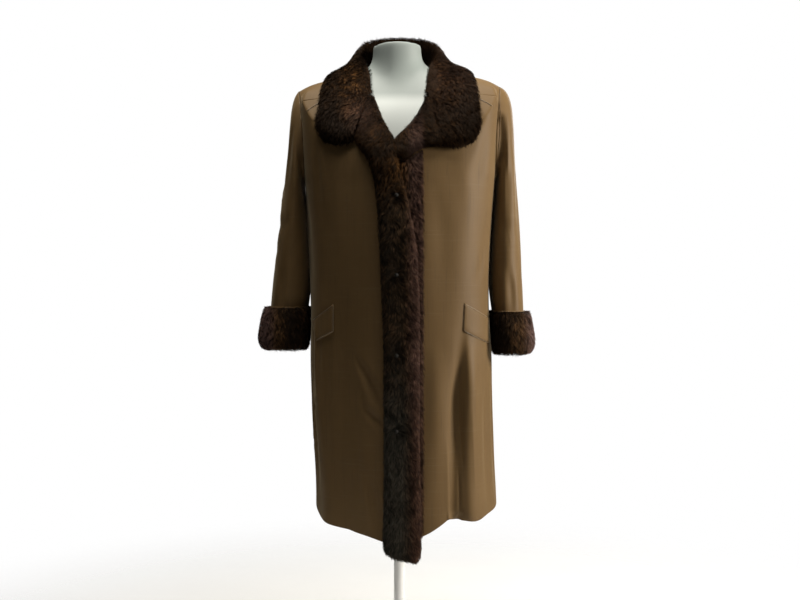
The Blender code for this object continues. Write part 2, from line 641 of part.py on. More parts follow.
def cuff_point(side, turn, z, out):
    """Point outside the sleeve at a height near the wrist."""
    low, high = 8.0, float(len(SLEEVE) - 1)
    for _ in range(24):
        station = (low + high) / 2
        if sleeve_point(side, station, turn).z > z:
            low = station
        else:
            high = station
    point = sleeve_point(side, station, turn)
    on_sleeve = beside_body(Vector((point.x, point.y, z)), side, wrist_gap(z))
    away = sleeve_point(side, station, turn, out) - point
    moved = on_sleeve + Vector((away.x, away.y, 0))
    if out > LAY:
        moved = beside_body(moved, side, BESIDE_CUFF)
    return moved


# ---------------------------------------------------------------- fur on the front
# Section of a strip, from the outer edge to the inner one: place across it and height as a share of the fur on
# its upper side, and place across it of the points of its underside.
SECTION_TOP = (
    (0.0, 0.35), (0.04, 0.78), (0.15, 0.96), (0.40, 1.0), (0.65, 1.0), (0.86, 0.96), (0.965, 0.74), (1.0, 0.30),
)
SECTION_UNDER = (0.015, 0.06, 0.18, 0.42, 0.68, 0.91, 0.94, 0.985)
LIP_POINTS = 2               # the last points of the underside, which turn down over the cloth's edge
LAPEL_FROM = 1.08            # above this height the fur is the lapel's


def strip_section(row, base, rise, over, lip):
    """Upper and under side of a strip between its two edges. lip: how far the inner edge turns down."""
    outer_x, outer_z, inner_x, inner_z = row

    def at(share, out):
        return seen_at(outer_x + (inner_x - outer_x) * share, outer_z + (inner_z - outer_z) * share, out, over)

    top = [at(share, base + rise * height) for share, height in SECTION_TOP]
    top[-1] = at(1.0, base - lip + (rise + lip) * 0.30)
    under = [at(share, base) for share in SECTION_UNDER[:-LIP_POINTS]]
    under += [at(share, base - lip) for share in SECTION_UNDER[-LIP_POINTS:]]
    return top, under


def make_strip(name, rows, over, material, lip=0.0, between=2):
    tops, unders = [], []
    last = len(rows) - 1
    for i in range(last * between + 1):
        station = i / between
        row = blend_rows(rows, station)
        clear = LAPEL_CLEAR * smooth_step((row[3] - LAPEL_FROM) / 0.05)
        ends = min(station, last - station)
        rise = FUR_STRIP * (0.62 + 0.38 * smooth_step(ends / 1.2))
        top, under = strip_section(row, LAY + clear, rise, over, lip)
        tops.append(top)
        unders.append(under)
    return wall(name, tops, unders, material)


# ---------------------------------------------------------------- collar
COLLAR_CLEAR = 0.0034        # the collar's underside clears the shoulder cloth
# Section of the fall: place from the outer edge to the crest and height as a share of the fur on its upper side,
# and place from the outer edge to the neckline of the points of its underside.
COLLAR_TOP = ((0.0, 0.30), (0.04, 0.55), (0.13, 0.82), (0.30, 0.96), (0.50, 1.0), (0.70, 1.0), (0.88, 1.0))
COLLAR_UNDER = (0.025, 0.12, 0.26, 0.42, 0.58, 0.74, 0.90)
COLLAR_BETWEEN = 3           # sections from one row of the collar's tables to the next
COLLAR_BULGE = 0.005
CREST_FRONT, CREST_BACK = 0.0105, 0.0190    # thickness where the fur rolls over
GORGE_FROM, GORGE_TO = 4.5, 6.0      # up to the first station a section is straight seen from the front


def collar_rows(side, front_rows):
    """Stations of half a collar, every edge given by angle and level."""
    rows = []
    for edge_x, edge_z, crest_x, crest_y, crest_z, neck_angle in front_rows:
        angle, level = place(side * edge_x, edge_z)
        rows.append((abs(angle), level, crest_x, crest_y, crest_z, neck_angle))
    return tuple(rows) + COLLAR_BACK


def collar_section(side, row, station):
    edge_angle, edge_level, crest_x, crest_y, crest_z, neck_angle = row
    crest = Vector((side * crest_x, crest_y, crest_z))
    neck = surface(side * neck_angle, NECK)
    edge = surface(side * edge_angle, edge_level)
    straight = smooth_step((GORGE_TO - station) / (GORGE_TO - GORGE_FROM))

    def at(share, out):
        angle = side * (edge_angle + (neck_angle - edge_angle) * share)
        level = edge_level + (NECK - edge_level) * share
        if straight > 0:
            seen = edge + (neck - edge) * share
            seen_angle, seen_level = place(seen.x, seen.z)
            angle += (seen_angle - angle) * straight
            level += (seen_level - level) * straight
        return surface(angle, level, out, over=side < 0)

    def top(share, height):
        """The fall's upper face: a fur's thickness over the cloth, and up to the crest."""
        low = at(share, FUR_COLLAR * height)
        normal = (low - at(share, 0.0)).normalized()
        line = edge + (crest - edge) * share + normal * COLLAR_BULGE
        rise = max(0.0, (line - low).dot(normal))
        lifted = low + normal * rise
        return lifted + (line - lifted) * smooth_step((share - 0.55) / 0.45)

    thick = CREST_FRONT + (CREST_BACK - CREST_FRONT) * smooth_step((station - 5.5) / 3.0)
    inward = Vector((-crest.x, 0.01 - crest.y, 0)).normalized()
    upper = [top(share, height) for share, height in COLLAR_TOP]
    upper += [crest, crest + inward * thick * 0.45 - Vector((0, 0, 0.005))]
    under = [at(share, COLLAR_CLEAR) for share in COLLAR_UNDER]
    under.append(neck + (crest - neck) * 0.12 + Vector((0, 0, COLLAR_CLEAR)))
    under.append(neck + (crest - neck) * 0.60 + inward * thick * 0.45)
    return upper, under


def make_collar(material):
    sections = []
    for side, front_rows in ((-1, COLLAR_FRONT_LEFT), (1, COLLAR_FRONT_RIGHT)):
        rows = collar_rows(side, front_rows)
        stations = [i / COLLAR_BETWEEN for i in range(COLLAR_BETWEEN * (len(rows) - 1) + 1)]
        half = [collar_section(side, blend_rows(rows, station), station) for station in stations]
        sections = half if side < 0 else sections + half[-2::-1]
    return wall("collar", [upper for upper, _ in sections], [under for _, under in sections], material)


# ---------------------------------------------------------------- pockets, fasteners
def make_pocket(name, side, material):
    """A slanted welt, laid on the front from its points."""
    x = WELT_FRONT_X["left" if side < 0 else "right"]
    angle, _ = place(x, WELT_FRONT_TOP_Z)
    columns, rows = 8, 4
    outer, inner = [], []
    for i in range(rows + 1):
        outer_row, inner_row = [], []
        walked, here = 0.0, angle
        for j in range(columns + 1):
            target = WELT_LENGTH * j / columns
            while walked < target:
                walked += (ring_point(RINGS, here + side * 0.2, 4) - ring_point(RINGS, here, 4)).length
                here += side * 0.2
            z = WELT_FRONT_TOP_Z - WELT_HEIGHT * i / rows - WELT_SLOPE * target
            level = level_at(z)
            outer_row.append(surface(here, level, LAY + WELT_THICKNESS, over=side < 0))
            inner_row.append(surface(here, level, LAY, over=side < 0))
        outer.append(outer_row)
        inner.append(inner_row)
    return wall(name, outer, inner, material)


def level_at(z):
    """Level of a height on the straight part of the skirt."""
    for i, (low, high) in enumerate(zip(RINGS, RINGS[1:])):
        if z <= high[0]:
            return i + (z - low[0]) / (high[0] - low[0])
    return float(NECK)


def make_fastener(name, z, material):
    base = LAY + FUR_STRIP + SEAM * 2
    spot = seen_at(FASTENER_X, z, base, over=True)
    ahead = seen_at(FASTENER_X, z, base + 0.01, over=True) - spot
    bpy.ops.mesh.primitive_cylinder_add(vertices=16, radius=FASTENER_RADIUS, depth=FASTENER_THICKNESS)
    item = bpy.context.object
    item.name = name
    item.rotation_euler = ahead.to_track_quat("Z", "Y").to_euler()
    item.location = spot + ahead.normalized() * (FASTENER_THICKNESS / 2)
    bevel = item.modifiers.new("edge", "BEVEL")
    bevel.width = 0.001
    bevel.segments = 1
    keep(item, material)


def keep(item, material):
    """Puts an object that a primitive made among the coat's parts."""
    for owner in list(item.users_collection):
        owner.objects.unlink(item)
    COAT.objects.link(item)
    item.data.materials.append(material)
    item.data.shade_smooth()
    item.data.set_sharp_from_angle(angle=math.radians(50))


# ---------------------------------------------------------------- dress form
def make_form(material, stand_material):
    sections = []
    for level in range(len(FORM_RINGS)):
        sections.append([ring_point(FORM_RINGS, 360.0 * i / FORM_STEPS, level) for i in range(FORM_STEPS)])
    loft("form_torso", sections, material)
    pole_top = FORM_RINGS[0][0] - SEAM
    pole_foot = BASE_THICKNESS + SEAM
    bpy.ops.mesh.primitive_cylinder_add(vertices=20, radius=POLE_RADIUS, depth=pole_top - pole_foot)
    pole = bpy.context.object
    pole.name = "form_pole"
    pole.location = (0, 0, (pole_top + pole_foot) / 2)
    keep(pole, stand_material)
    bpy.ops.mesh.primitive_cylinder_add(vertices=ROUND_STEPS, radius=BASE_RADIUS, depth=BASE_THICKNESS)
    base = bpy.context.object
    base.name = "form_base"
    base.location = (0, 0, BASE_THICKNESS / 2)
    bevel = base.modifiers.new("edge", "BEVEL")
    bevel.width = BASE_BEVEL
    bevel.segments = 2
    bevel.limit_method = "ANGLE"
    keep(base, stand_material)


# ---------------------------------------------------------------- the coat
for old in list(bpy.data.objects):
    bpy.data.objects.remove(old, do_unlink=True)
COAT = bpy.data.collections.new("fur_lined_coat")
bpy.context.scene.collection.children.link(COAT)

SATIN = (0.115, 0.080, 0.045)
FUR = (0.018, 0.009, 0.005)
WHITE = (0.72, 0.75, 0.72)

make_front("front_over", -1, True, finish_material("satin_over", SATIN, 0.45))
make_front("front_under", 1, False, finish_material("satin_under", SATIN, 0.45))
make_back(finish_material("satin_back", SATIN, 0.45))
for side, word in ((-1, "left"), (1, "right")):
    make_yoke("yoke_" + word, side, finish_material("satin_yoke_" + word, SATIN, 0.45))
    make_sleeve("sleeve_" + word, side, finish_material("satin_sleeve_" + word, SATIN, 0.45))
    make_cuff("cuff_" + word, side, finish_material("fur_cuff_" + word, FUR, 0.8))
    make_pocket("pocket_" + word, side, finish_material("satin_pocket_" + word, SATIN, 0.45))
make_strip("strip_under", STRIP_UNDER, False, finish_material("fur_strip_under", FUR, 0.8))
make_strip("strip_over", STRIP_OVER, True, finish_material("fur_strip_over", FUR, 0.8),
           lip=CLOTH + LAY * 0.6)
make_strip("lapel_under", LAPEL_UNDER, False, finish_material("fur_lapel_under", FUR, 0.8))
make_collar(finish_material("fur_collar", FUR, 0.8))
for number, height in enumerate(FASTENER_HEIGHTS, start=1):
    make_fastener("fastener_%d" % number, height, finish_material("fastener_%d" % number, (0.03, 0.025, 0.02), 0.35, 0.6))
make_form(finish_material("form_white", WHITE, 0.5), finish_material("stand_white", WHITE, 0.4))
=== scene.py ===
"""Looks of a fur-lined coat on a dress form: satin shell with hung folds, long-haired collar,
front bands and turned-back cuffs, a smooth display form on a pale pole and foot."""

import math

import bmesh
import bpy
import numpy as np
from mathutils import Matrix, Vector, kdtree, noise
from mathutils.bvhtree import BVHTree


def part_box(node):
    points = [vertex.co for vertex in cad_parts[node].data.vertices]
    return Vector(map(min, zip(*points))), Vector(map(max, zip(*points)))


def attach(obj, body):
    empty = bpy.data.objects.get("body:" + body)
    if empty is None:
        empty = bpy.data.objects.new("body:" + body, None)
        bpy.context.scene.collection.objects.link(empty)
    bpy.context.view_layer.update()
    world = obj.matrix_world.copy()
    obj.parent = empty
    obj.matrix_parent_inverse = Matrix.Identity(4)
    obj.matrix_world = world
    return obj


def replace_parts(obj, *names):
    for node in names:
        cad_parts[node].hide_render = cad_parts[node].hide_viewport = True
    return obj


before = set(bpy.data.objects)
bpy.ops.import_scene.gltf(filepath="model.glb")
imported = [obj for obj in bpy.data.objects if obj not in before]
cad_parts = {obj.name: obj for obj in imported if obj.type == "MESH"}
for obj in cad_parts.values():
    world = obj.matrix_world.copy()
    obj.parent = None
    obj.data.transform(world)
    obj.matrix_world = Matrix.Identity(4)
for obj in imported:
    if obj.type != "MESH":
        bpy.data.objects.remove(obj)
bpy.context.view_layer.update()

MM = 0.001
FRONTS = ("front_over", "front_under")
YOKES = ("yoke_left", "yoke_right")
SLEEVES = ("sleeve_left", "sleeve_right")
FASTENERS = ("fastener_1", "fastener_2", "fastener_3", "fastener_4")
FASTENER_HEIGHTS = (1.079, 0.917, 0.750, 0.593)
FASTENER_FRONT = -0.17


# ---------------------------------------------------------------- camera, light and floor

def set_camera():
    """Stands at the coat's middle height, 2.3 m in front, looking down by a degree."""
    away, drop = 2.3, 0.038
    eye = bpy.data.objects.new("eye", bpy.data.cameras.new("eye"))
    bpy.context.collection.objects.link(eye)
    eye.location = (0.001, -away, 0.90)
    eye.rotation_euler = (math.pi / 2 - math.atan(drop / away), 0, 0)
    eye.data.lens, eye.data.sensor_width = 46.23, 36
    eye.data.clip_start, eye.data.clip_end = 0.05, 60
    bpy.context.scene.camera = eye


def softbox(name, place, aim, size, watts, colour=(1, 1, 1)):
    lamp = bpy.data.lights.new(name, "AREA")
    lamp.shape, lamp.size, lamp.size_y = "RECTANGLE", *size
    lamp.energy, lamp.color = watts, colour
    holder = bpy.data.objects.new(name, lamp)
    bpy.context.collection.objects.link(holder)
    holder.location = place
    holder.rotation_euler = (Vector(aim) - Vector(place)).to_track_quat("-Z", "Y").to_euler()


class Tone:
    """A socket of a material's tree. Sums on it add their Math nodes."""

    def __init__(self, tree, socket=None):
        self.tree, self.socket = tree, socket

    def node(self, kind, settings=None, inputs=None, out=0):
        """Adds any one node: its settings first, then the values or links of its sockets."""
        made = self.tree.nodes.new("ShaderNode" + kind)
        for name, value in (settings or {}).items():
            setattr(made, name, value)
        for name, value in (inputs or {}).items():
            if isinstance(value, Tone):
                self.tree.links.new(value.socket, made.inputs[name])
            else:
                made.inputs[name].default_value = value
        return Tone(self.tree, made.outputs[out]) if made.outputs else None

    def sum(self, operation, *values):
        return self.node("Math", {"operation": operation}, dict(enumerate(values)))

    def __add__(self, other):
        return self.sum("ADD", self, other)

    def __sub__(self, other):
        return self.sum("SUBTRACT", self, other)

    def __rsub__(self, other):
        return self.sum("SUBTRACT", other, self)

    def __mul__(self, other):
        return self.sum("MULTIPLY", self, other)

    __radd__, __rmul__ = __add__, __mul__

    def between(self, low, high):
        """0 below low, 1 above high, with a soft step between."""
        return self.node("MapRange", {"interpolation_type": "SMOOTHSTEP"},
                         {"Value": self, "From Min": low, "From Max": high})

    def part(self, axis):
        return self.node("SeparateXYZ", inputs={0: self}, out="XYZ".index(axis))

    def stretched(self, scale):
        return self.node("VectorMath", {"operation": "MULTIPLY"}, {0: self, 1: scale})

    def speckle(self, scale, detail=2.0, rough=0.5):
        return self.node("TexNoise", inputs={"Vector": self, "Scale": scale, "Detail": detail,
                                             "Roughness": rough})

    def relief(self, strength, distance, over=None):
        sockets = {"Height": self, "Strength": strength, "Distance": distance}
        if over is not None:
            sockets["Normal"] = over
        return self.node("Bump", inputs=sockets)


def new_finish(name):
    material = bpy.data.materials.new(name)
    material.use_nodes = True
    material.node_tree.nodes.clear()
    tone = Tone(material.node_tree)
    return material, tone, tone.node("TexCoord", out=3)


def close_finish(tone, colour, **sockets):
    shader = tone.node("BsdfPrincipled", inputs={"Base Color": colour, **{
        name.replace("_", " "): value for name, value in sockets.items()}})
    tone.node("OutputMaterial", inputs={"Surface": shader})


def mix_of(tone, low, high, share):
    """One colour, or a socket's colour, mixed with another by a share."""
    return tone.node("Mix", {"data_type": "RGBA"},
                     {0: share, 6: low if isinstance(low, Tone) else (*low, 1),
                      7: high if isinstance(high, Tone) else (*high, 1)}, out=2)


def set_room():
    """Pale round floor that fades out, white surroundings and soft studio light."""
    scene = bpy.context.scene
    scene.view_settings.view_transform, scene.view_settings.look = "Standard", "None"
    scene.view_settings.exposure, scene.view_settings.gamma = 0, 1
    scene.world = bpy.data.worlds.new("studio_air")
    scene.world.use_nodes = True
    scene.world.node_tree.nodes.clear()
    air = Tone(scene.world.node_tree)
    seen = air.node("LightPath")
    dim = air.node("Background", inputs={"Color": (0.86, 0.93, 1, 1), "Strength": 0.013})
    white = air.node("Background", inputs={"Color": (1, 1, 1, 1), "Strength": 1.0})
    mixed = air.node("MixShader", inputs={0: seen, 1: dim, 2: white})
    air.node("OutputWorld", inputs={"Surface": mixed})

    softbox("key_right", (1.95, -0.56, 1.30), (0.05, 0, 1.00), (0.45, 0.80), 62, (1, 0.95, 0.87))
    softbox("top", (0.0, -0.30, 3.1), (0, 0.0, 1.2), (1.4, 0.8), 80, (1, 0.96, 0.88))
    softbox("fill_front", (-0.3, -3.4, 1.5), (0, 0, 0.9), (1.8, 1.4), 2.6, (1, 0.97, 0.93))
    softbox("back", (1.3, 3.1, 2.1), (0, 0, 0.95), (1.3, 1.3), 42)

    finish, tone, place = new_finish("pale_floor")
    away = tone.node("VectorMath", {"operation": "LENGTH"}, {0: place}, out=1)
    grain = place.speckle(6, 3)
    board = tone.node("BsdfPrincipled", inputs={
        "Base Color": mix_of(tone, (0.80, 0.80, 0.79), (0.86, 0.86, 0.85), grain),
        "Roughness": 0.7})
    nothing = tone.node("BsdfTransparent")
    tone.node("OutputMaterial", inputs={"Surface": tone.node(
        "MixShader", inputs={0: away.between(0.45, 1.7), 1: board, 2: nothing})})
    mesh = bpy.data.meshes.new("floor")
    shape = bmesh.new()
    bmesh.ops.create_circle(shape, cap_ends=True, radius=2.7, segments=64)
    shape.to_mesh(mesh)
    floor = bpy.data.objects.new("floor", mesh)
    floor.location.z = -0.0006
    mesh.materials.append(finish)
    bpy.context.collection.objects.link(floor)


# ---------------------------------------------------------------- finishes

def satin_finish():
    """Closely woven satin, olive brown with a golden sheen, fine threads both ways."""
    finish, tone, place = new_finish("olive_satin")
    cloudy = place.speckle(5, 3, 0.55)
    slubs = place.stretched((260, 260, 9)).speckle(1, 2, 0.6)
    picks = place.stretched((11, 11, 300)).speckle(1, 2, 0.6)
    warp = place.stretched((1500, 1500, 60)).speckle(1, 1)
    weft = place.stretched((70, 70, 1700)).speckle(1, 1)
    colour = mix_of(tone, (0.110, 0.064, 0.0235), (0.145, 0.088, 0.035), cloudy)
    colour = mix_of(tone, colour, (0.075, 0.048, 0.024), slubs.between(0.52, 0.80) * 0.35)
    colour = mix_of(tone, colour, (0.190, 0.138, 0.078), picks.between(0.55, 0.85) * 0.22)
    threads = (warp + weft * 0.8).relief(0.20, 0.0003)
    puckers = place.stretched((90, 90, 26)).speckle(1, 2, 0.5).relief(0.10, 0.0012, threads)
    close_finish(tone, colour, Roughness=(0.54 + cloudy * 0.10), Normal=puckers,
                 Specular_IOR_Level=0.20, Sheen_Weight=0.16, Sheen_Roughness=0.35,
                 Sheen_Tint=(1.0, 0.86, 0.62, 1))
    return finish


def thread_finish(name, dark, light):
    """Twisted sewing thread and rolled seam edges."""
    finish, tone, place = new_finish(name)
    twist = place.stretched((900, 900, 900)).speckle(1, 2)
    close_finish(tone, mix_of(tone, dark, light, twist), Roughness=0.45,
                 Normal=twist.relief(0.4, 0.0004), Sheen_Weight=0.3)
    return finish


def hair_finish(name, under):
    """Dark glossy guard hair over a softer pelt. The hair's own marks are its place from root to
    tip, its shade (its own random tone times painted light and shade), how red it is and how grey."""
    finish, tone, place = new_finish(name)
    marks = tone.node("Attribute", {"attribute_name": "hair_marks"}, out=0)
    split = tone.node("SeparateColor", inputs={0: marks}, out=0)
    along, own, red = (Tone(tone.tree, split.socket.node.outputs[i]) for i in range(3))
    grey = tone.node("Attribute", {"attribute_name": "hair_marks"}, out=3)
    patches = place.speckle(26, 3, 0.6)
    streaks = place.stretched((420, 420, 60)).speckle(1, 3, 0.6)
    # own: each hair's random tone with the painted light and shade of lit_share in it
    colour = mix_of(tone, (0.0042, 0.0022, 0.0011), (0.1050, 0.0490, 0.0165), own)
    # the red colour is the hair's redder hue and also much lighter: partly painted light
    colour = mix_of(tone, colour, (0.190, 0.112, 0.100), red * (0.25 + own * 0.75))
    colour = mix_of(tone, colour, (0.070, 0.076, 0.067), grey * (0.35 + own * 0.65))
    colour = mix_of(tone, colour, (0.0040, 0.0024, 0.0015), (1 - along.between(0.0, 0.60)) * 0.80)
    colour = mix_of(tone, colour, (0.0050, 0.0028, 0.0016), patches.between(0.50, 0.74) * 0.45)
    if under:
        close_finish(tone, mix_of(tone, colour, (0.003, 0.002, 0.0015), 0.45), Roughness=0.85,
                     Normal=streaks.relief(0.4, 0.002), Specular_IOR_Level=0.05)
    else:
        close_finish(tone, colour, Roughness=(0.42 + streaks * 0.16), Specular_IOR_Level=0.05,
                     Specular_Tint=(1.0, 0.60, 0.32, 1), Normal=streaks.relief(0.2, 0.002))
    return finish


def form_finish():
    """Hard smooth display form, with painted shade that makes the neck darker than the chest."""
    finish, tone, place = new_finish("form_shell")
    cloudy = place.speckle(7, 3)
    grain = place.speckle(900, 1)
    chest = mix_of(tone, (0.53, 0.57, 0.55), (0.59, 0.62, 0.60), cloudy)
    # painted shade: the neck's colour is darker than the chest's
    neck = mix_of(tone, (0.23, 0.265, 0.25), (0.27, 0.30, 0.285), cloudy)
    close_finish(tone, mix_of(tone, chest, neck, place.part("Z").between(1.285, 1.315)),
                 Roughness=(0.50 + cloudy * 0.10), Normal=grain.relief(0.10, 0.0003))
    return finish


def lacquer_finish():
    finish, tone, place = new_finish("pale_lacquer")
    cloudy = place.speckle(9, 3)
    fine = place.speckle(900, 1)
    close_finish(tone, mix_of(tone, (0.82, 0.82, 0.81), (0.88, 0.88, 0.87), cloudy),
                 Roughness=(0.30 + cloudy * 0.08), Normal=fine.relief(0.05, 0.0002),
                 Coat_Weight=0.3)
    return finish


def hook_finish():
    finish, tone, place = new_finish("bronzed_metal")
    worn = place.speckle(300, 3)
    close_finish(tone, mix_of(tone, (0.006, 0.005, 0.004), (0.014, 0.011, 0.008), worn),
                 Roughness=(0.55 + worn * 0.15), Specular_IOR_Level=0.25)
    return finish


# ---------------------------------------------------------------- meshes

ANY_ANGLE = 3.14


def quads_of(node):
    """The node's own solid as a clean mesh of quads."""
    shape = bmesh.new()
    shape.from_mesh(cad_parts[node].data)
    bmesh.ops.remove_doubles(shape, verts=shape.verts, dist=1e-5)
    bmesh.ops.join_triangles(shape, faces=shape.faces, angle_face_threshold=ANY_ANGLE,
                             angle_shape_threshold=ANY_ANGLE)
    return shape


def refined(node, levels, crease_over=35):
    """The node's solid with rounded faces and its sharp rims kept, as points and faces."""
    shape = quads_of(node)
    crease = shape.edges.layers.float.new("crease_edge")
    for edge in shape.edges:
        if len(edge.link_faces) == 2 and edge.calc_face_angle(0) > math.radians(crease_over):
            edge[crease] = 0.85
    mesh = bpy.data.meshes.new(node + "_start")
    shape.to_mesh(mesh)
    shape.free()
    holder = bpy.data.objects.new(node + "_start", mesh)
    bpy.context.collection.objects.link(holder)
    rounding = holder.modifiers.new("rounding", "SUBSURF")
    rounding.levels = rounding.render_levels = levels
    fine = bpy.data.meshes.new_from_object(
        holder.evaluated_get(bpy.context.evaluated_depsgraph_get()))
    bpy.data.objects.remove(holder)
    bpy.data.meshes.remove(mesh)
    return fine


def points_of(mesh):
    flat = np.empty(len(mesh.vertices) * 3)
    mesh.vertices.foreach_get("co", flat)
    return flat.reshape(-1, 3)


def normals_of(mesh):
    flat = np.empty(len(mesh.vertices) * 3)
    mesh.vertices.foreach_get("normal", flat)
    return flat.reshape(-1, 3)


def set_points(mesh, points):
    mesh.vertices.foreach_set("co", np.ascontiguousarray(points, dtype=np.float32).ravel())
    mesh.update()


def place_piece(name, mesh, finish, smooth=True):
    mesh.materials.clear()
    mesh.materials.append(finish)
    if smooth:
        mesh.polygons.foreach_set("use_smooth", np.ones(len(mesh.polygons), dtype=bool))
    piece = bpy.data.objects.new(name, mesh)
    bpy.context.collection.objects.link(piece)
    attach(piece, "root")
    return piece


def mesh_from(name, points, faces):
    mesh = bpy.data.meshes.new(name)
    mesh.from_pydata([tuple(p) for p in points], [], [tuple(f) for f in faces])
    mesh.update()
    return mesh


# ---------------------------------------------------------------- folds in the cloth

BODY_HALF_WIDTH, BODY_HALF_DEPTH, BODY_SQUARENESS = 0.21, 0.148, 2.7


def body_outward(points):
    """The level direction straight out of the coat's body at each point."""
    power = BODY_SQUARENESS - 1
    x, y = points[:, 0], points[:, 1]
    out = np.stack([np.sign(x) * np.abs(x / BODY_HALF_WIDTH) ** power / BODY_HALF_WIDTH,
                    np.sign(y) * np.abs(y / BODY_HALF_DEPTH) ** power / BODY_HALF_DEPTH,
                    np.zeros(len(x))], axis=1)
    return out / np.maximum(np.linalg.norm(out, axis=1, keepdims=True), 1e-9)


def sleeve_outward(points):
    """The level direction away from the sleeve's own middle line."""
    heights = np.linspace(points[:, 2].min(), points[:, 2].max(), 24)
    middles = []
    for low, high in zip(heights[:-1], heights[1:]):
        band = points[(points[:, 2] >= low) & (points[:, 2] <= high)]
        middles.append((band[:, :2].min(axis=0) + band[:, :2].max(axis=0)) / 2)
    middles, at = np.array(middles), (heights[:-1] + heights[1:]) / 2
    out = np.zeros_like(points)
    for axis in (0, 1):
        out[:, axis] = points[:, axis] - np.interp(points[:, 2], at, middles[:, axis])
    return out / np.maximum(np.linalg.norm(out, axis=1, keepdims=True), 1e-9)


def on_cloth(tree, side, across, height):
    """The point of the cloth that is seen from that side at that place; below the hem, the
    hem itself."""
    for step in range(40):
        if side in ("front", "back"):
            start = Vector((across, -1 if side == "front" else 1, height))
            way = Vector((0, 1 if side == "front" else -1, 0))
        else:
            start = Vector((-1 if side == "left" else 1, across, height))
            way = Vector((1 if side == "left" else -1, 0, 0))
        hit = tree.ray_cast(start, way)[0]
        if hit is not None:
            return hit
        height += 4 * MM if height < 0.9 else -4 * MM
    raise ValueError(f"no cloth is seen from the {side} at {across:.3f}")


def soft(value, low, high):
    share = np.clip((value - low) / (high - low), 0, 1)
    return share * share * (3 - 2 * share)


def fold(points, out, line, depth, width, steep=0):
    """Presses one soft trough (or lifts one ridge, where depth is below 0) along a line of
    points, with a low swell on both sides. It fades unevenly towards its two ends. Where steep
    is -1 or 1, the fold lies over to the left or right: that flank is steep, the other long."""
    line = np.array(line)
    reach = (6.5 if steep else 3.2) * width
    near = np.all((points > line.min(axis=0) - reach) & (points < line.max(axis=0) + reach), axis=1)
    if not near.any():
        return
    p, straight_out = points[near], out[near]
    lengths = np.linalg.norm(np.diff(line, axis=0), axis=1)
    starts = np.concatenate([[0], np.cumsum(lengths)])
    best, along, beside = np.full(len(p), 1e9), np.zeros(len(p)), np.zeros(len(p))
    for a, b, start, length in zip(line[:-1], line[1:], starts, lengths):
        share = np.clip((p - a) @ (b - a) / length ** 2, 0, 1)
        apart = p - a - share[:, None] * (b - a)
        gap = np.linalg.norm(apart, axis=1)
        closer = gap < best
        best = np.where(closer, gap, best)
        along = np.where(closer, (start + share * length) / starts[-1], along)
        beside = np.where(closer, np.sum(apart * np.cross(straight_out, b - a), axis=1), beside)
    ends = (np.clip(along / 0.30, 0, 1) * np.clip((1 - along) / 0.42, 0, 1)) ** 0.8
    wide = width * (0.75 + 0.5 * along)
    if steep:
        ends = soft(along, 0.0, 0.40)
        steep_side = np.sign(beside) == steep
        press = np.exp(-(best / np.where(steep_side, wide, 2.3 * wide)) ** 2)
        press -= 0.10 * np.where(steep_side, np.exp(-((best - 2.0 * wide) / wide) ** 2), 0)
    else:
        press = np.exp(-(best / wide) ** 2) - 0.42 * np.exp(-((best - 1.9 * wide) / wide) ** 2)
    points[near] -= straight_out * (depth * press * ends)[:, None]


def curve_through(tree, side, marks, steps=7):
    """A smooth line over the cloth through marks of (across, height)."""
    marks = np.array(marks)
    if len(marks) == 2:
        marks = np.array([marks[0], marks.mean(axis=0), marks[1]])
    t = np.linspace(0, 1, steps)
    knots = np.linspace(0, 1, len(marks))
    fits = [np.polyfit(knots, marks[:, i], min(3, len(marks) - 1)) for i in (0, 1)]
    return [on_cloth(tree, side, float(np.polyval(fits[0], s)), float(np.polyval(fits[1], s)))
            for s in t]


STEEP_LEFT, STEEP_RIGHT = -1, 1

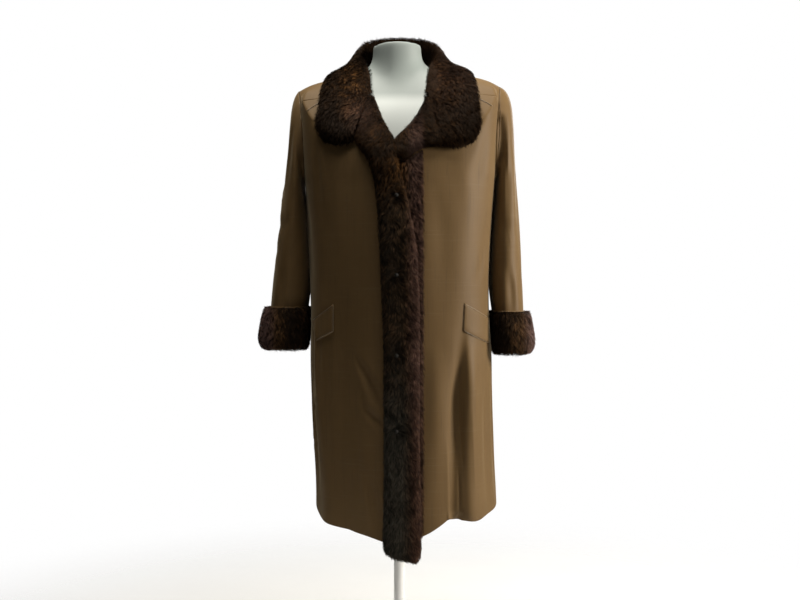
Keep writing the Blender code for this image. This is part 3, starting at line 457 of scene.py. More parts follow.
# Each fold: side, marks of (across, height) in metres, depth and width in millimetres, and
# the flank that is steep where it lies over.
BODY_FOLDS = [
    # under front: one deep hung fold from below the pocket to the hem, its neighbours shallower
    ("front", [(0.145, 0.82), (0.140, 0.70), (0.130, 0.55), (0.127, 0.42)], -18.5, 12, STEEP_LEFT),
    ("front", [(0.122, 0.80), (0.116, 0.70), (0.106, 0.55), (0.104, 0.42)], 4.0, 10, STEEP_RIGHT),
    ("front", [(0.074, 0.78), (0.078, 0.60), (0.070, 0.44)], -2.0, 18),
    ("front", [(0.186, 0.70), (0.184, 0.56), (0.190, 0.42)], 2.4, 12),
    ("front", [(0.075, 1.12), (0.090, 0.96), (0.086, 0.80)], 1.5, 20),
    ("front", [(0.128, 1.20), (0.146, 1.05), (0.140, 0.88)], -1.6, 22),
    ("front", [(0.186, 1.22), (0.172, 1.15), (0.152, 1.10)], 1.6, 12),
    ("front", [(0.164, 0.90), (0.178, 0.95), (0.186, 1.02)], 1.2, 12),
    # over front: drags that run down to the fastenings, and an upright side ridge
    ("front", [(-0.092, 0.745), (-0.060, 0.690), (-0.030, 0.618)], 4.6, 9),
    ("front", [(-0.080, 0.640), (-0.052, 0.618), (-0.028, 0.588)], 3.6, 8),
    ("front", [(-0.066, 0.510), (-0.050, 0.430), (-0.034, 0.350)], 4.6, 10),
    ("front", [(-0.178, 0.82), (-0.180, 0.72), (-0.174, 0.60)], -3.6, 9),
    ("front", [(-0.150, 0.78), (-0.156, 0.62), (-0.148, 0.46)], 3.4, 13),
    ("front", [(-0.116, 0.70), (-0.112, 0.55), (-0.120, 0.40)], -2.6, 15),
    ("front", [(-0.106, 1.10), (-0.112, 0.92), (-0.106, 0.74)], -2.4, 26),
    ("front", [(-0.090, 0.58), (-0.086, 0.48), (-0.092, 0.38)], 2.4, 11),
    ("front", [(-0.085, 1.16), (-0.100, 1.02), (-0.098, 0.88)], 1.6, 14),
    ("front", [(-0.140, 1.17), (-0.150, 1.06), (-0.142, 0.92)], 1.4, 12),
    ("front", [(-0.180, 1.20), (-0.172, 1.12), (-0.166, 1.02)], 2.0, 9),
    ("front", [(-0.165, 0.645), (-0.180, 0.638), (-0.192, 0.620)], 1.8, 6),
    ("front", [(-0.170, 0.560), (-0.184, 0.548), (-0.196, 0.552)], 1.4, 6),
    # sides
    ("left", [(-0.010, 1.150), (-0.006, 1.00), (-0.010, 0.82)], -4.5, 26),
    ("left", [(0.020, 0.96), (0.028, 0.76), (0.020, 0.52)], 4.2, 13),
    ("left", [(-0.050, 0.70), (-0.056, 0.56), (-0.050, 0.43)], 3.2, 11),
    ("left", [(0.086, 0.84), (0.092, 0.64), (0.086, 0.46)], -3.4, 14),
    ("right", [(0.030, 0.92), (0.022, 0.70), (0.030, 0.50)], 4.0, 13),
    ("right", [(-0.046, 0.74), (-0.040, 0.58), (-0.048, 0.43)], 3.6, 11),
    ("right", [(0.090, 0.80), (0.084, 0.62), (0.092, 0.46)], -3.2, 14),
    # back: long folds that open towards the hem from the shoulder blades
    ("back", [(-0.120, 1.16), (-0.128, 0.92), (-0.136, 0.66), (-0.140, 0.43)], 6.0, 15),
    ("back", [(-0.052, 1.02), (-0.058, 0.80), (-0.050, 0.60), (-0.056, 0.44)], 4.2, 16),
    ("back", [(0.014, 1.20), (0.010, 0.96), (0.020, 0.72), (0.016, 0.50)], -3.4, 18),
    ("back", [(0.078, 1.08), (0.086, 0.84), (0.080, 0.62), (0.088, 0.43)], 5.4, 15),
    ("back", [(0.146, 1.12), (0.140, 0.88), (0.148, 0.64), (0.144, 0.45)], 4.4, 12),
    ("back", [(-0.090, 1.255), (-0.040, 1.235), (0.020, 1.235)], 1.0, 16),
    ("back", [(0.150, 1.24), (0.120, 1.20), (0.100, 1.13)], 1.8, 10),
    ("back", [(-0.156, 1.22), (-0.130, 1.18), (-0.112, 1.12)], 1.8, 10),
]

# The same for the sleeves: they drag from the armhole and buckle a little at the elbow.
SLEEVE_FOLDS = {
    "sleeve_left": [
        ("front", [(-0.222, 1.29), (-0.236, 1.20), (-0.246, 1.08)], 4.2, 9),
        ("front", [(-0.262, 1.22), (-0.258, 1.10), (-0.266, 0.98)], -2.4, 10),
        ("front", [(-0.234, 1.05), (-0.252, 1.025), (-0.272, 1.035)], 2.8, 8),
        ("front", [(-0.228, 0.97), (-0.250, 0.955), (-0.275, 0.970)], 2.4, 8),
        ("front", [(-0.250, 0.95), (-0.258, 0.88), (-0.262, 0.82)], 3.2, 9),
        ("left", [(-0.010, 1.18), (0.000, 1.05), (-0.012, 0.92)], 2.4, 11),
        ("left", [(0.030, 1.10), (0.022, 1.03), (0.034, 0.96)], 1.8, 8),
        ("back", [(-0.232, 1.22), (-0.246, 1.08), (-0.242, 0.94)], 4.0, 11),
        ("back", [(-0.268, 1.06), (-0.250, 1.04), (-0.232, 1.05)], 1.8, 8),
    ],
    "sleeve_right": [
        ("front", [(0.214, 1.28), (0.224, 1.19), (0.234, 1.07)], 4.2, 9),
        ("front", [(0.250, 1.20), (0.248, 1.08), (0.252, 0.96)], -3.4, 10),
        ("front", [(0.222, 1.03), (0.240, 1.010), (0.262, 1.020)], 2.8, 8),
        ("front", [(0.218, 0.94), (0.240, 0.930), (0.262, 0.945)], 2.4, 8),
        ("front", [(0.236, 0.93), (0.244, 0.87), (0.240, 0.80)], 3.2, 9),
        ("right", [(-0.006, 1.16), (0.004, 1.03), (-0.010, 0.90)], 4.0, 11),
        ("right", [(0.034, 1.08), (0.026, 1.01), (0.036, 0.94)], 1.8, 8),
        ("back", [(0.226, 1.20), (0.240, 1.06), (0.236, 0.92)], 4.0, 11),
        ("back", [(0.262, 1.05), (0.244, 1.02), (0.224, 1.04)], 1.8, 8),
    ],
}


def tree_over(meshes):
    """One search tree over several meshes."""
    points, faces = [], []
    for mesh in meshes:
        start = len(points)
        points += [v.co.copy() for v in mesh.vertices]
        faces += [[start + i for i in p.vertices] for p in mesh.polygons]
    return BVHTree.FromPolygons(points, faces)


SWELLS_A_METRE, SWELL_HEIGHT = Vector((9, 9, 4)).length / 2, 0.9 * MM


def uneven(points, out, scale, height):
    """A low uneven swell, so that no panel is ironed flat."""
    lift = np.array([noise.noise(Vector(p) * scale) for p in points.tolist()])
    return points + out * (lift * height)[:, None]


def hang_cloth(satin):
    """Every cloth piece from its own solid: rounded, folded and finished in satin."""
    meshes = {n: refined(n, 3 if n in FRONTS + YOKES else 2)
              for n in FRONTS + ("back",) + YOKES + SLEEVES}
    body = tree_over([meshes[n] for n in FRONTS + ("back",) + YOKES])
    lines = [(curve_through(body, side, marks), depth * MM, width * MM, *steep)
             for side, marks, depth, width, *steep in BODY_FOLDS]
    pieces = {}
    for name, mesh in meshes.items():
        points = points_of(mesh)
        if name in SLEEVES:
            out = sleeve_outward(points)
            tree = tree_over([mesh])
            own = [(curve_through(tree, side, marks), depth * MM, width * MM, *steep)
                   for side, marks, depth, width, *steep in SLEEVE_FOLDS[name]]
        else:
            out, own = body_outward(points), lines
        for line, *shape in own:
            fold(points, out, [tuple(p) for p in line], *shape)
        if name not in YOKES:
            points = uneven(points, out, SWELLS_A_METRE, SWELL_HEIGHT)
        set_points(mesh, points)
    welts(meshes)
    for name, mesh in meshes.items():
        pieces[name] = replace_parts(place_piece(name + "_cloth", mesh, satin), name)
    return pieces


# ---------------------------------------------------------------- fur

def marks_on(mesh, marks):
    """Writes the hair's marks: along, shade with its painted light and shade, red share, grey
    share.
    """
    layer = mesh.attributes.new("hair_marks", "FLOAT_COLOR", "POINT")
    layer.data.foreach_set("color", np.ascontiguousarray(marks, dtype=np.float32).ravel())


def red_share(points):
    """Where the hair is a redder brown, and lighter, the lightness partly painted light: the rolled
    edge of the over band, the turn of the lapel, and the outer face of the cuffs."""
    x, y, z = points.T
    roll = (soft(x, 0.006, 0.034) * soft(-x, -0.054, -0.044) * soft(-y, 0.10, 0.13)
            * soft(-z, -1.32, -1.18))
    roll *= 1 - 0.35 * soft(-z, -0.76, -0.50)
    turn = np.exp(-((x + 0.085) / 0.035) ** 2 - ((z - 1.255) / 0.040) ** 2)
    cuffs = soft(np.abs(x), 0.262, 0.296) * soft(-z, -0.87, -0.85)
    inner = soft(z, 1.20, 1.36) * soft(x, 0.03, 0.10) * 0.5
    return np.clip(0.66 * roll + 0.32 * turn + cuffs + 0.3 * inner, 0, 1)


# Painted light and shade on the hair, where it is lit lighter or shaded darker than the rest:
# place, reach and how much, in metres.
HAIR_PAINTED_LIGHT_AND_SHADE = [
    ((-0.103, -0.09, 1.340), (0.024, 0.08, 0.055), 1.15),
    ((-0.098, -0.13, 1.262), (0.024, 0.06, 0.026), 1.50),
    ((-0.050, -0.15, 1.200), (0.028, 0.06, 0.040), 0.80),
    ((0.000, -0.16, 1.120), (0.020, 0.06, 0.060), 0.30),
    ((0.078, -0.08, 1.360), (0.022, 0.08, 0.055), 1.10),
    ((0.118, -0.08, 1.300), (0.026, 0.08, 0.060), 0.35),
    ((0.040, -0.14, 1.225), (0.030, 0.06, 0.022), 0.40),
    ((0.010, -0.16, 1.230), (0.022, 0.06, 0.040), 0.35),
    ((-0.140, -0.10, 1.225), (0.036, 0.08, 0.036), -0.75),
    ((0.050, -0.14, 1.170), (0.030, 0.06, 0.018), -0.80),
    ((-0.070, -0.02, 1.400), (0.018, 0.06, 0.050), -0.70),
    ((0.056, -0.02, 1.400), (0.016, 0.06, 0.050), -0.70),
    ((0.150, -0.09, 1.240), (0.030, 0.08, 0.045), -0.45),
    ((-0.045, -0.16, 1.140), (0.022, 0.06, 0.060), -0.70),
    # painted shade in the dimples round the fasteners and down the middle of the band, and a
    # painted highlight along its right edge
    ((-0.006, -0.16, 1.079), (0.015, 0.06, 0.024), -0.45),
    ((-0.006, -0.16, 0.917), (0.015, 0.06, 0.028), -0.45),
    ((-0.008, -0.16, 0.750), (0.017, 0.06, 0.032), -0.50),
    ((-0.008, -0.16, 0.593), (0.018, 0.06, 0.036), -0.55),
    ((-0.020, -0.16, 0.940), (0.012, 0.06, 0.120), -0.30),
    ((0.018, -0.16, 0.820), (0.010, 0.06, 0.200), 0.35),
    # painted light on the outer faces of the cuffs, and painted shade on their inner sides next to
    # the coat
    ((-0.232, -0.06, 0.800), (0.020, 0.10, 0.060), -0.75),
    ((-0.300, -0.06, 0.800), (0.034, 0.12, 0.070), 3.20),
    ((0.285, -0.06, 0.790), (0.028, 0.12, 0.070), 1.10),
    ((0.220, -0.06, 0.790), (0.020, 0.10, 0.060), -0.85),
]


def lit_share(points):
    # Painted light and shade on the hair: the collar, above 1.16 m, darker as a whole, and each
    # listed place lighter or darker.
    share = np.where(points[:, 2] > 1.16, 0.46, 1.0)
    for place, reach, more in HAIR_PAINTED_LIGHT_AND_SHADE:
        share += more * np.exp(-(((points - place) / reach) ** 2).sum(axis=1))
    return np.clip(share, 0.12, 3.4)


def grey_share(points):
    """The low part of the front bands is a cooler, greyer brown, and the cuffs a little."""
    x, y, z = points.T
    low = 0.35 + 0.65 * soft(-z, -0.80, -0.56)
    bands = (low * soft(-z, -1.14, -1.02) * soft(-y, 0.08, 0.12) * soft(-x, -0.034, 0.000)
             * (x > -0.1))
    return bands * 0.9 + (np.abs(x) > 0.20) * soft(-z, -0.90, -0.86) * 0.15


def lift_of(points, scale, seed):
    shift = Vector((seed * 7.1, seed * 3.3, seed * 5.7))
    return np.array([noise.noise(Vector(p) * scale + shift) for p in points.tolist()])


def flow_collar(points, normals):
    """From the neck seam over the crest, then out and down."""
    away = points - np.array([0, 0.010, 0])
    away[:, 2] = 0
    away /= np.maximum(np.linalg.norm(away, axis=1, keepdims=True), 1e-9)
    facing = np.sum(away * normals, axis=1)
    way = away * 0.75
    way[:, 2] -= np.clip(facing * 2.2, -1, 1)
    return way


def flow_band(points, normals):
    """Down the front, fanning out to both edges of the band."""
    way = np.zeros_like(points)
    way[:, 2] = -1
    way[:, 0] = np.clip((points[:, 0] + 0.012) * 11, -0.55, 0.55)
    for z in FASTENER_HEIGHTS:
        gap = points - np.array([-0.006, FASTENER_FRONT, z])
        far = np.linalg.norm(gap[:, [0, 2]], axis=1)
        pull = np.exp(-(far / 0.016) ** 2)
        way[:, 0] += 2.6 * pull * gap[:, 0] / np.maximum(far, 1e-4)
        way[:, 2] += 2.6 * pull * gap[:, 2] / np.maximum(far, 1e-4)
    return way


def flow_cuff(points, normals):
    """Down to the cuff's edge and a little outward."""
    middle = (points.min(axis=0) + points.max(axis=0)) / 2
    way = points - middle
    way[:, 2] = 0
    way /= np.maximum(np.linalg.norm(way, axis=1, keepdims=True), 1e-9)
    way = way * 0.35
    way[:, 2] -= 0.85
    return way


def unit(vectors):
    return vectors / np.maximum(np.linalg.norm(vectors, axis=1, keepdims=True), 1e-9)


def spots_on(mesh, points, normals, count, random, hidden):
    """Even random places on the mesh, hardly any where it is hidden, with the way straight out."""
    mesh.calc_loop_triangles()
    triangles = np.empty(len(mesh.loop_triangles) * 3, dtype=int)
    mesh.loop_triangles.foreach_get("vertices", triangles)
    triangles = triangles.reshape(-1, 3)
    corner = points[triangles]
    cross = np.cross(corner[:, 1] - corner[:, 0], corner[:, 2] - corner[:, 0])
    weight = np.linalg.norm(cross, axis=1) / 2
    if hidden is not None:
        weight = weight * np.where(hidden(corner.mean(axis=1), unit(cross)), 0.03, 1.0)
    pick = triangles[random.choice(len(triangles), size=count, p=weight / weight.sum())]
    a, b = random.random(count), random.random(count)
    over = a + b > 1
    a[over], b[over] = 1 - a[over], 1 - b[over]
    shares = np.stack([1 - a - b, a, b], axis=1)[:, :, None]
    return (points[pick] * shares).sum(axis=1), unit((normals[pick] * shares).sum(axis=1))


def gathered(spot, number, blur, random):
    """Picks that many middles among the spots, and the nearest middle of every spot."""
    middles = spot[random.choice(len(spot), size=max(8, number), replace=False)]
    search = kdtree.KDTree(len(middles))
    for i, p in enumerate(middles):
        search.insert(p, i)
    search.balance()
    blurred = spot + random.normal(0, blur, spot.shape)
    return middles, np.array([search.find(p)[1] for p in blurred.tolist()])


def shared_lie(random, member, number, spread):
    """The turn, lift and shade that all the hairs of one lock or wisp have in common."""
    drawn = random.normal(0, spread, number), random.normal(0, 1, number), random.random(number)
    return [values[member] for values in drawn]


def comb(name, spot, up, way, random, seed, length, proud, finish):
    """Flat bent hairs in overlapping locks, each lock with its own lie, lift and shade."""
    count = len(spot)
    locks, lock = gathered(spot, count // 70, 2.2 * MM, random)
    wisps, wisp = gathered(spot, count // 9, 0.5 * MM, random)
    toward = wisps[wisp] - spot
    lock_turn, lock_lift, lock_shade = shared_lie(random, lock, len(locks), 0.26)
    wisp_turn, wisp_lift, wisp_shade = shared_lie(random, wisp, len(wisps), 0.16)

    way = way + random.normal(0, 0.15, (count, 3))
    way = unit(way - up * np.sum(way * up, axis=1, keepdims=True))
    side = np.cross(up, way)
    turn = 0.8 * lift_of(spot, 30, seed + 5) + lock_turn + wisp_turn + random.normal(0, 0.05, count)
    way = way * np.cos(turn)[:, None] + side * np.sin(turn)[:, None]
    side = unit(np.cross(up, way))

    stray = random.random(count) < 0.07
    long = length * MM * random.uniform(0.70, 1.20, count)
    top = proud * MM * (0.45 + 0.50 * random.random(count) + 0.30 * lock_lift + 0.40 * wisp_lift)
    top = np.clip(top, -1.6 * MM, 3.6 * MM) + stray * random.uniform(0.5, 2.6, count) * MM
    root = spot - up * (4.4 * MM) - way * (0.44 * long)[:, None]
    middle = (spot + up * (top * 0.45 - 0.4 * MM)[:, None] - way * (0.04 * long)[:, None]
              + toward * 0.30)
    tip = spot + up * top[:, None] + way * (0.52 * long)[:, None] + toward * 0.72
    wide = random.uniform(0.42, 0.80, count) * MM * np.where(stray, 0.6, 1)
    roll = random.normal(0, 0.45, count) + 0.25 * wisp_lift
    across = side * np.cos(roll)[:, None] + up * np.sin(roll)[:, None]
    ribbon = np.empty((count, 5, 3))
    ribbon[:, 0] = root - across * (0.50 * wide)[:, None]
    ribbon[:, 1] = root + across * (0.50 * wide)[:, None]
    ribbon[:, 2] = middle + across * (0.46 * wide)[:, None]
    ribbon[:, 3] = middle - across * (0.46 * wide)[:, None]
    ribbon[:, 4] = tip

    start = np.arange(count)[:, None] * 5
    loops = np.concatenate([start + [0, 1, 2, 3], start + [3, 2, 4]], axis=1).ravel()
    strands = bpy.data.meshes.new(name)
    strands.vertices.add(count * 5)
    strands.vertices.foreach_set("co", ribbon.astype(np.float32).ravel())
    strands.loops.add(len(loops))
    strands.loops.foreach_set("vertex_index", loops.astype(np.int32))
    strands.polygons.add(count * 2)
    begins = (np.arange(count)[:, None] * 7 + [0, 4]).ravel().astype(np.int32)
    strands.polygons.foreach_set("loop_start", begins)
    strands.update(calc_edges=True)
    strands.validate()

    marks = np.empty((count, 5, 4))
    marks[:, :, 0] = [0.0, 0.0, 0.55, 0.55, 1.0]
    # Each hair's shade: random per lock, wisp and hair, times lit_share's painted light and shade.
    shade = (0.30 * lock_shade + 0.55 * wisp_shade ** 1.5
             + random.uniform(-0.14, 0.20, count)) * lit_share(spot)
    marks[:, :, 1] = (np.clip(shade, 0, 1.2) ** 1.6)[:, None]
    marks[:, :, 2] = red_share(spot)[:, None]
    marks[:, :, 3] = grey_share(spot)[:, None]
    marks_on(strands, marks.reshape(-1, 4))
    return place_piece(name, strands, finish, smooth=False)


def grow_fur(node, count, flow, seed, skin, hairs, hidden=None,
             length=15.0, proud=1.7):
    """A pelt under the solid's surface, and hairs whose tips reach just past it."""
    random = np.random.default_rng(seed)
    mesh = refined(node, 2, 60)
    points, normals = points_of(mesh), normals_of(mesh)
    spot, up = spots_on(mesh, points, normals, count, random, hidden)
    hair = comb(node + "_hair", spot, up, flow(spot, up), random, seed, length, proud, hairs)
    depth = 3.8 * MM + 1.2 * MM * lift_of(points, 70, seed) + 0.6 * MM * lift_of(points, 190, seed)
    set_points(mesh, points - normals * depth[:, None])
    under = np.full((len(points), 4), 0.35)
    under[:, 2], under[:, 3] = red_share(points), grey_share(points)
    marks_on(mesh, under)
    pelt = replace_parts(place_piece(node + "_pelt", mesh, skin), node)
    return pelt, hair


SEAM_HAIRS = 2600


def bridge_gorge(name, top, bottom, seed, skin, hairs):
    """Where the collar meets the lapel the pelts are sewn edge to edge, and the hair covers
    the seam: a soft roll in the groove, with hairs across it."""
    random = np.random.default_rng(seed)
    sides = BVHTree.FromPolygons(*merged_of(("collar", "strip_over", "lapel_under")))
    ends = np.array([top, bottom])
    lines = []
    for share in np.linspace(0, 1, 15):
        x, z = ends[0] + (ends[1] - ends[0]) * share
        for reach in (8, 4, 2):
            hits = [sides.ray_cast(Vector((x + step * MM, -1, z)), Vector((0, 1, 0)))
                    for step in (-reach, reach)]
            if all(h[0] is not None for h in hits):
                break
        if all(h[0] is not None for h in hits):
            lines.append((np.array((hits[0][0] + hits[1][0]) / 2),
                          np.array((hits[0][1] + hits[1][1]).normalized())))
    middles = np.array([p for p, _ in lines])
    outs = unit(np.array([n for _, n in lines]))
    rings, faces = tube_along(middles - outs * 7.5 * MM, 5.0 * MM, 8)
    mesh = mesh_from(name + "_roll", rings, faces)
    under = np.full((len(rings), 4), 0.35)
    under[:, 2], under[:, 3] = red_share(np.array(rings)), 0
    marks_on(mesh, under)
    roll = place_piece(name + "_roll", mesh, skin)
    count = SEAM_HAIRS
    at = random.uniform(0, len(middles) - 1.001, count)
    low = at.astype(int)
    share = (at - low)[:, None]
    spot = middles[low] * (1 - share) + middles[low + 1] * share
    up = unit(outs[low] * (1 - share) + outs[low + 1] * share)
    along = unit(middles[low + 1] - middles[low])
    spot = spot + np.cross(up, along) * random.uniform(-7, 7, (count, 1)) * MM - up * 0.8 * MM
    way = flow_collar(spot, up)
    return roll, comb(name + "_hair", spot, up, way, random, seed, 14.0, 1.3, hairs)


def merged_of(nodes):
    points, faces = [], []
    for node in nodes:
        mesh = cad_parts[node].data
        start = len(points)
        points += [v.co.copy() for v in mesh.vertices]
        faces += [[start + i for i in p.vertices] for p in mesh.polygons]
    return points, faces


# ---------------------------------------------------------------- sewing

def tube_along(points, radius, sides=6):
    """A thin round roll along a line of points, closed at both ends."""
    points = [Vector(p) for p in points]
    rings, faces = [], []
    for i, p in enumerate(points):
        way = (points[min(i + 1, len(points) - 1)] - points[max(i - 1, 0)]).normalized()
        one = way.cross(Vector((0, -1, 0.2))).normalized()
        two = way.cross(one).normalized()
        thin = radius * (0.35 if i in (0, len(points) - 1) else 1)
        turns = [math.tau * k / sides for k in range(sides)]
        rings += [tuple(p + (one * math.cos(t) + two * math.sin(t)) * thin) for t in turns]
    for i in range(len(points) - 1):
        for k in range(sides):
            a, b = i * sides + k, i * sides + (k + 1) % sides
            faces.append((a, b, b + sides, a + sides))
    faces.append(tuple(reversed(range(sides))))
    faces.append(tuple(range((len(points) - 1) * sides, len(points) * sides)))
    return rings, faces


CAP_PROFILE = ((0.0, 1.5), (0.8, 1.45), (1.7, 1.2), (2.4, 0.8), (2.7, 0.5), (3.1, 0.45),
               (3.7, 0.55), (4.1, 0.35), (4.2, 0.0), (4.0, -1.0), (2.0, -1.2))
CAP_SIDES = 28


def cap_fasteners(metal):
    """Small dark covered snaps with a domed middle and a rolled rim, sunk in the hair."""
    around = CAP_SIDES
    for name in FASTENERS:
        low, high = (Vector(c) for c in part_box(name))
        centre = (low + high) / 2
        front = low.y + 2.6 * MM
        points, faces = [(centre.x, front - CAP_PROFILE[0][1] * MM, centre.z)], []
        for radius, rise in CAP_PROFILE[1:]:
            points += [(centre.x + radius * MM * math.cos(math.tau * k / around),
                        front - rise * MM,
                        centre.z + radius * MM * math.sin(math.tau * k / around))
                       for k in range(around)]
        for k in range(around):
            nxt = (k + 1) % around
            faces.append((0, 1 + k, 1 + nxt))
            for ring in range(len(CAP_PROFILE) - 2):
                a, b = 1 + ring * around + k, 1 + ring * around + nxt
                faces.append((a, a + around, b + around, b))
        last = 1 + (len(CAP_PROFILE) - 2) * around
        faces.append(tuple(range(last + around - 1, last - 1, -1)))
        cap = mesh_from(name + "_cap", points, faces)
        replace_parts(place_piece(name + "_cap", cap, metal), name)


STITCH_GAP, STITCH_LENGTH, STITCH_RADIUS = 3.2 * MM, 4.5 * MM, 0.33 * MM
STITCH_LIFT, ROLL_LIFT = Vector((0, -0.25 * MM, 0)), Vector((0, -0.3 * MM, 0))

PIPINGS = {
    # edges of the slanted pocket welts, rolled and pressed
    "welt_edge_right": ("front", 0.7, [[(0.1372, 0.8565), (0.1660, 0.8410), (0.1900, 0.8265)],
                                       [(0.1372, 0.8565), (0.1352, 0.8280), (0.1346, 0.8000)],
                                       [(0.1346, 0.8000), (0.1640, 0.7845), (0.1890, 0.7725)]]),
    "welt_edge_left": ("front", 0.7, [[(-0.1405, 0.8540), (-0.1650, 0.8365), (-0.1880, 0.8195)],
                                      [(-0.1405, 0.8540), (-0.1405, 0.8260), (-0.1405, 0.7980)],
                                      [(-0.1405, 0.7980), (-0.1600, 0.7880), (-0.1780, 0.7780)]]),
    # yoke seams and the top of the armhole seams
    "yoke_roll_right": ("front", 0.9, [[(0.1700, 1.2960), (0.1850, 1.2890), (0.2000, 1.2790)]]),
    "yoke_roll_left": ("front", 0.9, [[(-0.1700, 1.2890), (-0.1850, 1.2800), (-0.2000, 1.2680)]]),
    "armhole_roll_right": ("front", 0.8, [[(0.2170, 1.318), (0.2190, 1.260), (0.2150, 1.190)]]),
    "armhole_roll_left": ("front", 0.8, [[(-0.2125, 1.312), (-0.2145, 1.270), (-0.2130, 1.220)]]),
}


def joined(parts):
    points, faces = [], []
    for rings, around in parts:
        start = len(points)
        points += rings
        faces += [tuple(start + i for i in face) for face in around]
    return points, faces


WELTS = {
    # corners of (across, height): inner top, outer top, outer bottom, inner bottom; the welts'
    # solids run further round to the coat's sides than these do
    "pocket_right": ((0.1372, 0.8577), (0.1945, 0.8236), (0.1950, 0.7690), (0.1342, 0.7984)),
    "pocket_left": ((-0.1400, 0.8550), (-0.1905, 0.8171), (-0.1780, 0.7756), (-0.1395, 0.7963)),
}


def welts(meshes):
    """The slanted pocket welts: a double layer of satin pressed flat on the panel."""
    under = tree_over([meshes[n] for n in FRONTS + ("back",)])
    for name, corners in WELTS.items():
        a, b, c, d = (np.array(corner) for corner in corners)
        long, short, thick = 26, 16, 2.3 * MM
        points, faces = [], []
        for layer in (0, 1):
            for j in range(short + 1):
                for i in range(long + 1):
                    u, v = i / long, j / short
                    x, z = (a * (1 - u) + b * u) * (1 - v) + (d * (1 - u) + c * u) * v
                    hit, out = under.ray_cast(Vector((x, -1, z)), Vector((0, 1, 0)))[:2]
                    edge = min(u * long, (1 - u) * long, v * short, (1 - v) * short)
                    rise = 0.5 * MM + layer * thick * (0.55 + 0.45 * min(1, edge / 1.5))
                    points.append(tuple(hit + out.normalized() * rise))
        row, sheet = long + 1, (long + 1) * (short + 1)
        for j in range(short):
            for i in range(long):
                k = j * row + i
                faces += [(k, k + 1, k + row + 1, k + row),
                          (sheet + k, sheet + k + row, sheet + k + row + 1, sheet + k + 1)]
        rim = (list(range(long)) + [long + j * row for j in range(short)]
               + [short * row + i for i in range(long, 0, -1)]
               + [j * row for j in range(short, 0, -1)])
        for k, nxt in zip(rim, rim[1:] + rim[:1]):
            faces.append((nxt, k, sheet + k, sheet + nxt))
        mesh = mesh_from(name, points, faces)
        shape = bmesh.new()
        shape.from_mesh(mesh)
        bmesh.ops.recalc_face_normals(shape, faces=shape.faces)
        shape.to_mesh(mesh)
        meshes[name] = mesh


def middle_of(marks):
    return sum((Vector((x, 0, z)) for x, z in marks), Vector()) / len(marks)


def stitch_row(tree, side, marks, inner, long):
    """Stitches in a row beside a rolled edge, on the side of the piece's own middle."""
    toward = inner - middle_of(marks)
    toward = toward.normalized() if toward.length > 5 * MM else Vector((0, 0, -1))
    row = [(x + toward.x * STITCH_GAP, z + toward.z * STITCH_GAP) for x, z in marks]
    track = curve_through(tree, side, row, 3 * int(1 + long / STITCH_LENGTH))
    stitches = []
    for i in range(0, len(track) - 1, 3):
        a, b = track[i], track[min(i + 2, len(track) - 1)]
        stitches.append(tube_along([a, (a + b) / 2 + STITCH_LIFT, b], STITCH_RADIUS, 5))
    return stitches


def sew(cloth, satin, thread, satin_painted_highlight):
    """Rolled edges and seams in satin, and the rows of stitches beside them."""
    tree = tree_over([piece.data for piece in cloth.values()])
    for name, (side, radius, lines) in PIPINGS.items():
        rolls, stitches = [], []
        inner = middle_of([mark for line in lines for mark in line])
        for marks in lines:
            path = [p + ROLL_LIFT for p in curve_through(tree, side, marks, 13)]
            rolls.append(tube_along(path, radius * MM))
            stitches += stitch_row(tree, side, marks, inner, (path[0] - path[-1]).length)
        # The welt and yoke rolls take the lighter satin, a painted highlight along the rolled
        # edges; the armhole rolls take the plain satin.
        finish = satin if "armhole" in name else satin_painted_highlight
        place_piece(name, mesh_from(name, *joined(rolls)), finish)
        row = name + "_stitches"
        place_piece(row, mesh_from(row, *joined(stitches)), thread)
    turn_cuffs(cloth, satin)


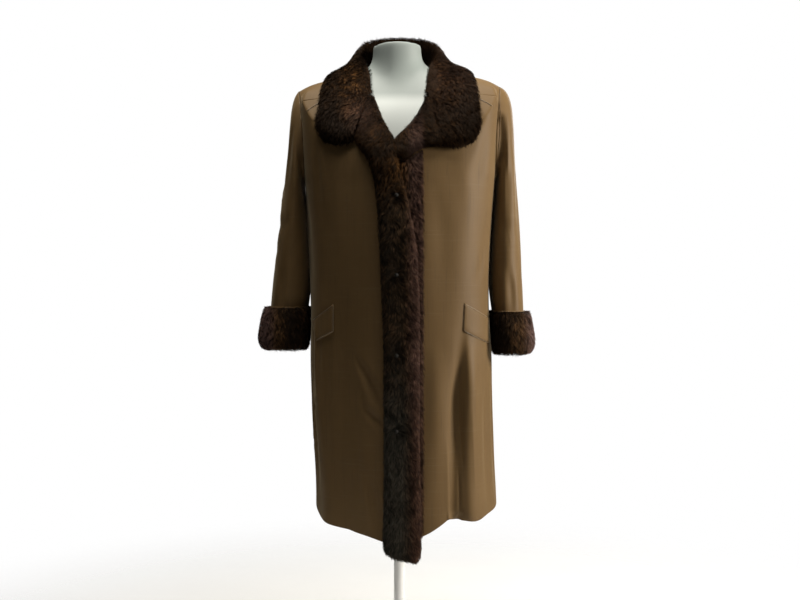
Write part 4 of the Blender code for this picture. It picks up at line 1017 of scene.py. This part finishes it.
def turn_cuffs(cloth, satin):
    """A thin satin roll round each sleeve where the fur cuff begins."""
    for side, height in (("left", 0.8465), ("right", 0.8375)):
        sleeve = cloth["sleeve_" + side].data
        own = tree_over([sleeve])
        band = points_of(sleeve)
        band = band[np.abs(band[:, 2] - height) < 20 * MM]
        centre = Vector((*((band[:, :2].min(axis=0) + band[:, :2].max(axis=0)) / 2), height))
        ring, around = [], 48
        for k in range(around + 1):
            way = Vector((math.cos(math.tau * k / around), math.sin(math.tau * k / around), 0))
            hit = own.ray_cast(centre + way * 0.3, -way)[0]
            if hit is not None:
                ring.append(hit + way * 1.0 * MM)
        name = "cuff_turn_" + side
        place_piece(name, mesh_from(name, *tube_along(ring, 1.5 * MM, 8)), satin)


def main():
    set_camera()
    set_room()
    satin = satin_finish()
    skin, hairs = hair_finish("fur_pelt", True), hair_finish("fur_hair", False)
    cloth = hang_cloth(satin)

    # The second finish is the satin in lighter colours: a painted highlight for the rolled edges.
    # Width and length in metres of the cut that shows, its area, set close to what these meshes
    # measure, how it is held and what it rests on.
    sew(cloth, satin, thread_finish("sewing_thread", (0.10, 0.062, 0.028), (0.20, 0.135, 0.070)),
        thread_finish("rolled_satin_painted_highlight", (0.150, 0.098, 0.046), (0.235, 0.165, 0.090)))

    def against_body(places, outs):
        return (outs[:, 1] > 0.35) & (places[:, 1] < -0.05)

    def under_fall(places, outs):
        return (outs[:, 2] < -0.45) & (places[:, 2] < 1.36) & (np.abs(places[:, 0]) > 0.09)

    seams = [*bridge_gorge("gorge_left", (-0.0575, 1.300), (-0.0800, 1.200), 17, skin, hairs),
             *bridge_gorge("gorge_right", (0.0590, 1.312), (0.0860, 1.184), 18, skin, hairs)]
    grow_fur("collar", 60000, flow_collar, 11, skin, hairs,
             hidden=under_fall)
    grow_fur("strip_over", 50000, flow_band, 12, skin, hairs,
             hidden=against_body)
    grow_fur("strip_under", 16000, flow_band, 13, skin, hairs,
             hidden=against_body)
    grow_fur("lapel_under", 9000, flow_band, 14, skin, hairs,
             hidden=against_body)
    for name, seed in (("cuff_left", 15), ("cuff_right", 16)):
        grow_fur(name, 26000, flow_cuff, seed, skin, hairs)

    shell = form_finish()
    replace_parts(place_piece("form_skin", refined("form_torso", 2, 60), shell), "form_torso")
    lacquer = lacquer_finish()
    for name in ("form_pole", "form_base"):
        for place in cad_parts[name].material_slots:
            place.material = lacquer
    cap_fasteners(hook_finish())


main()
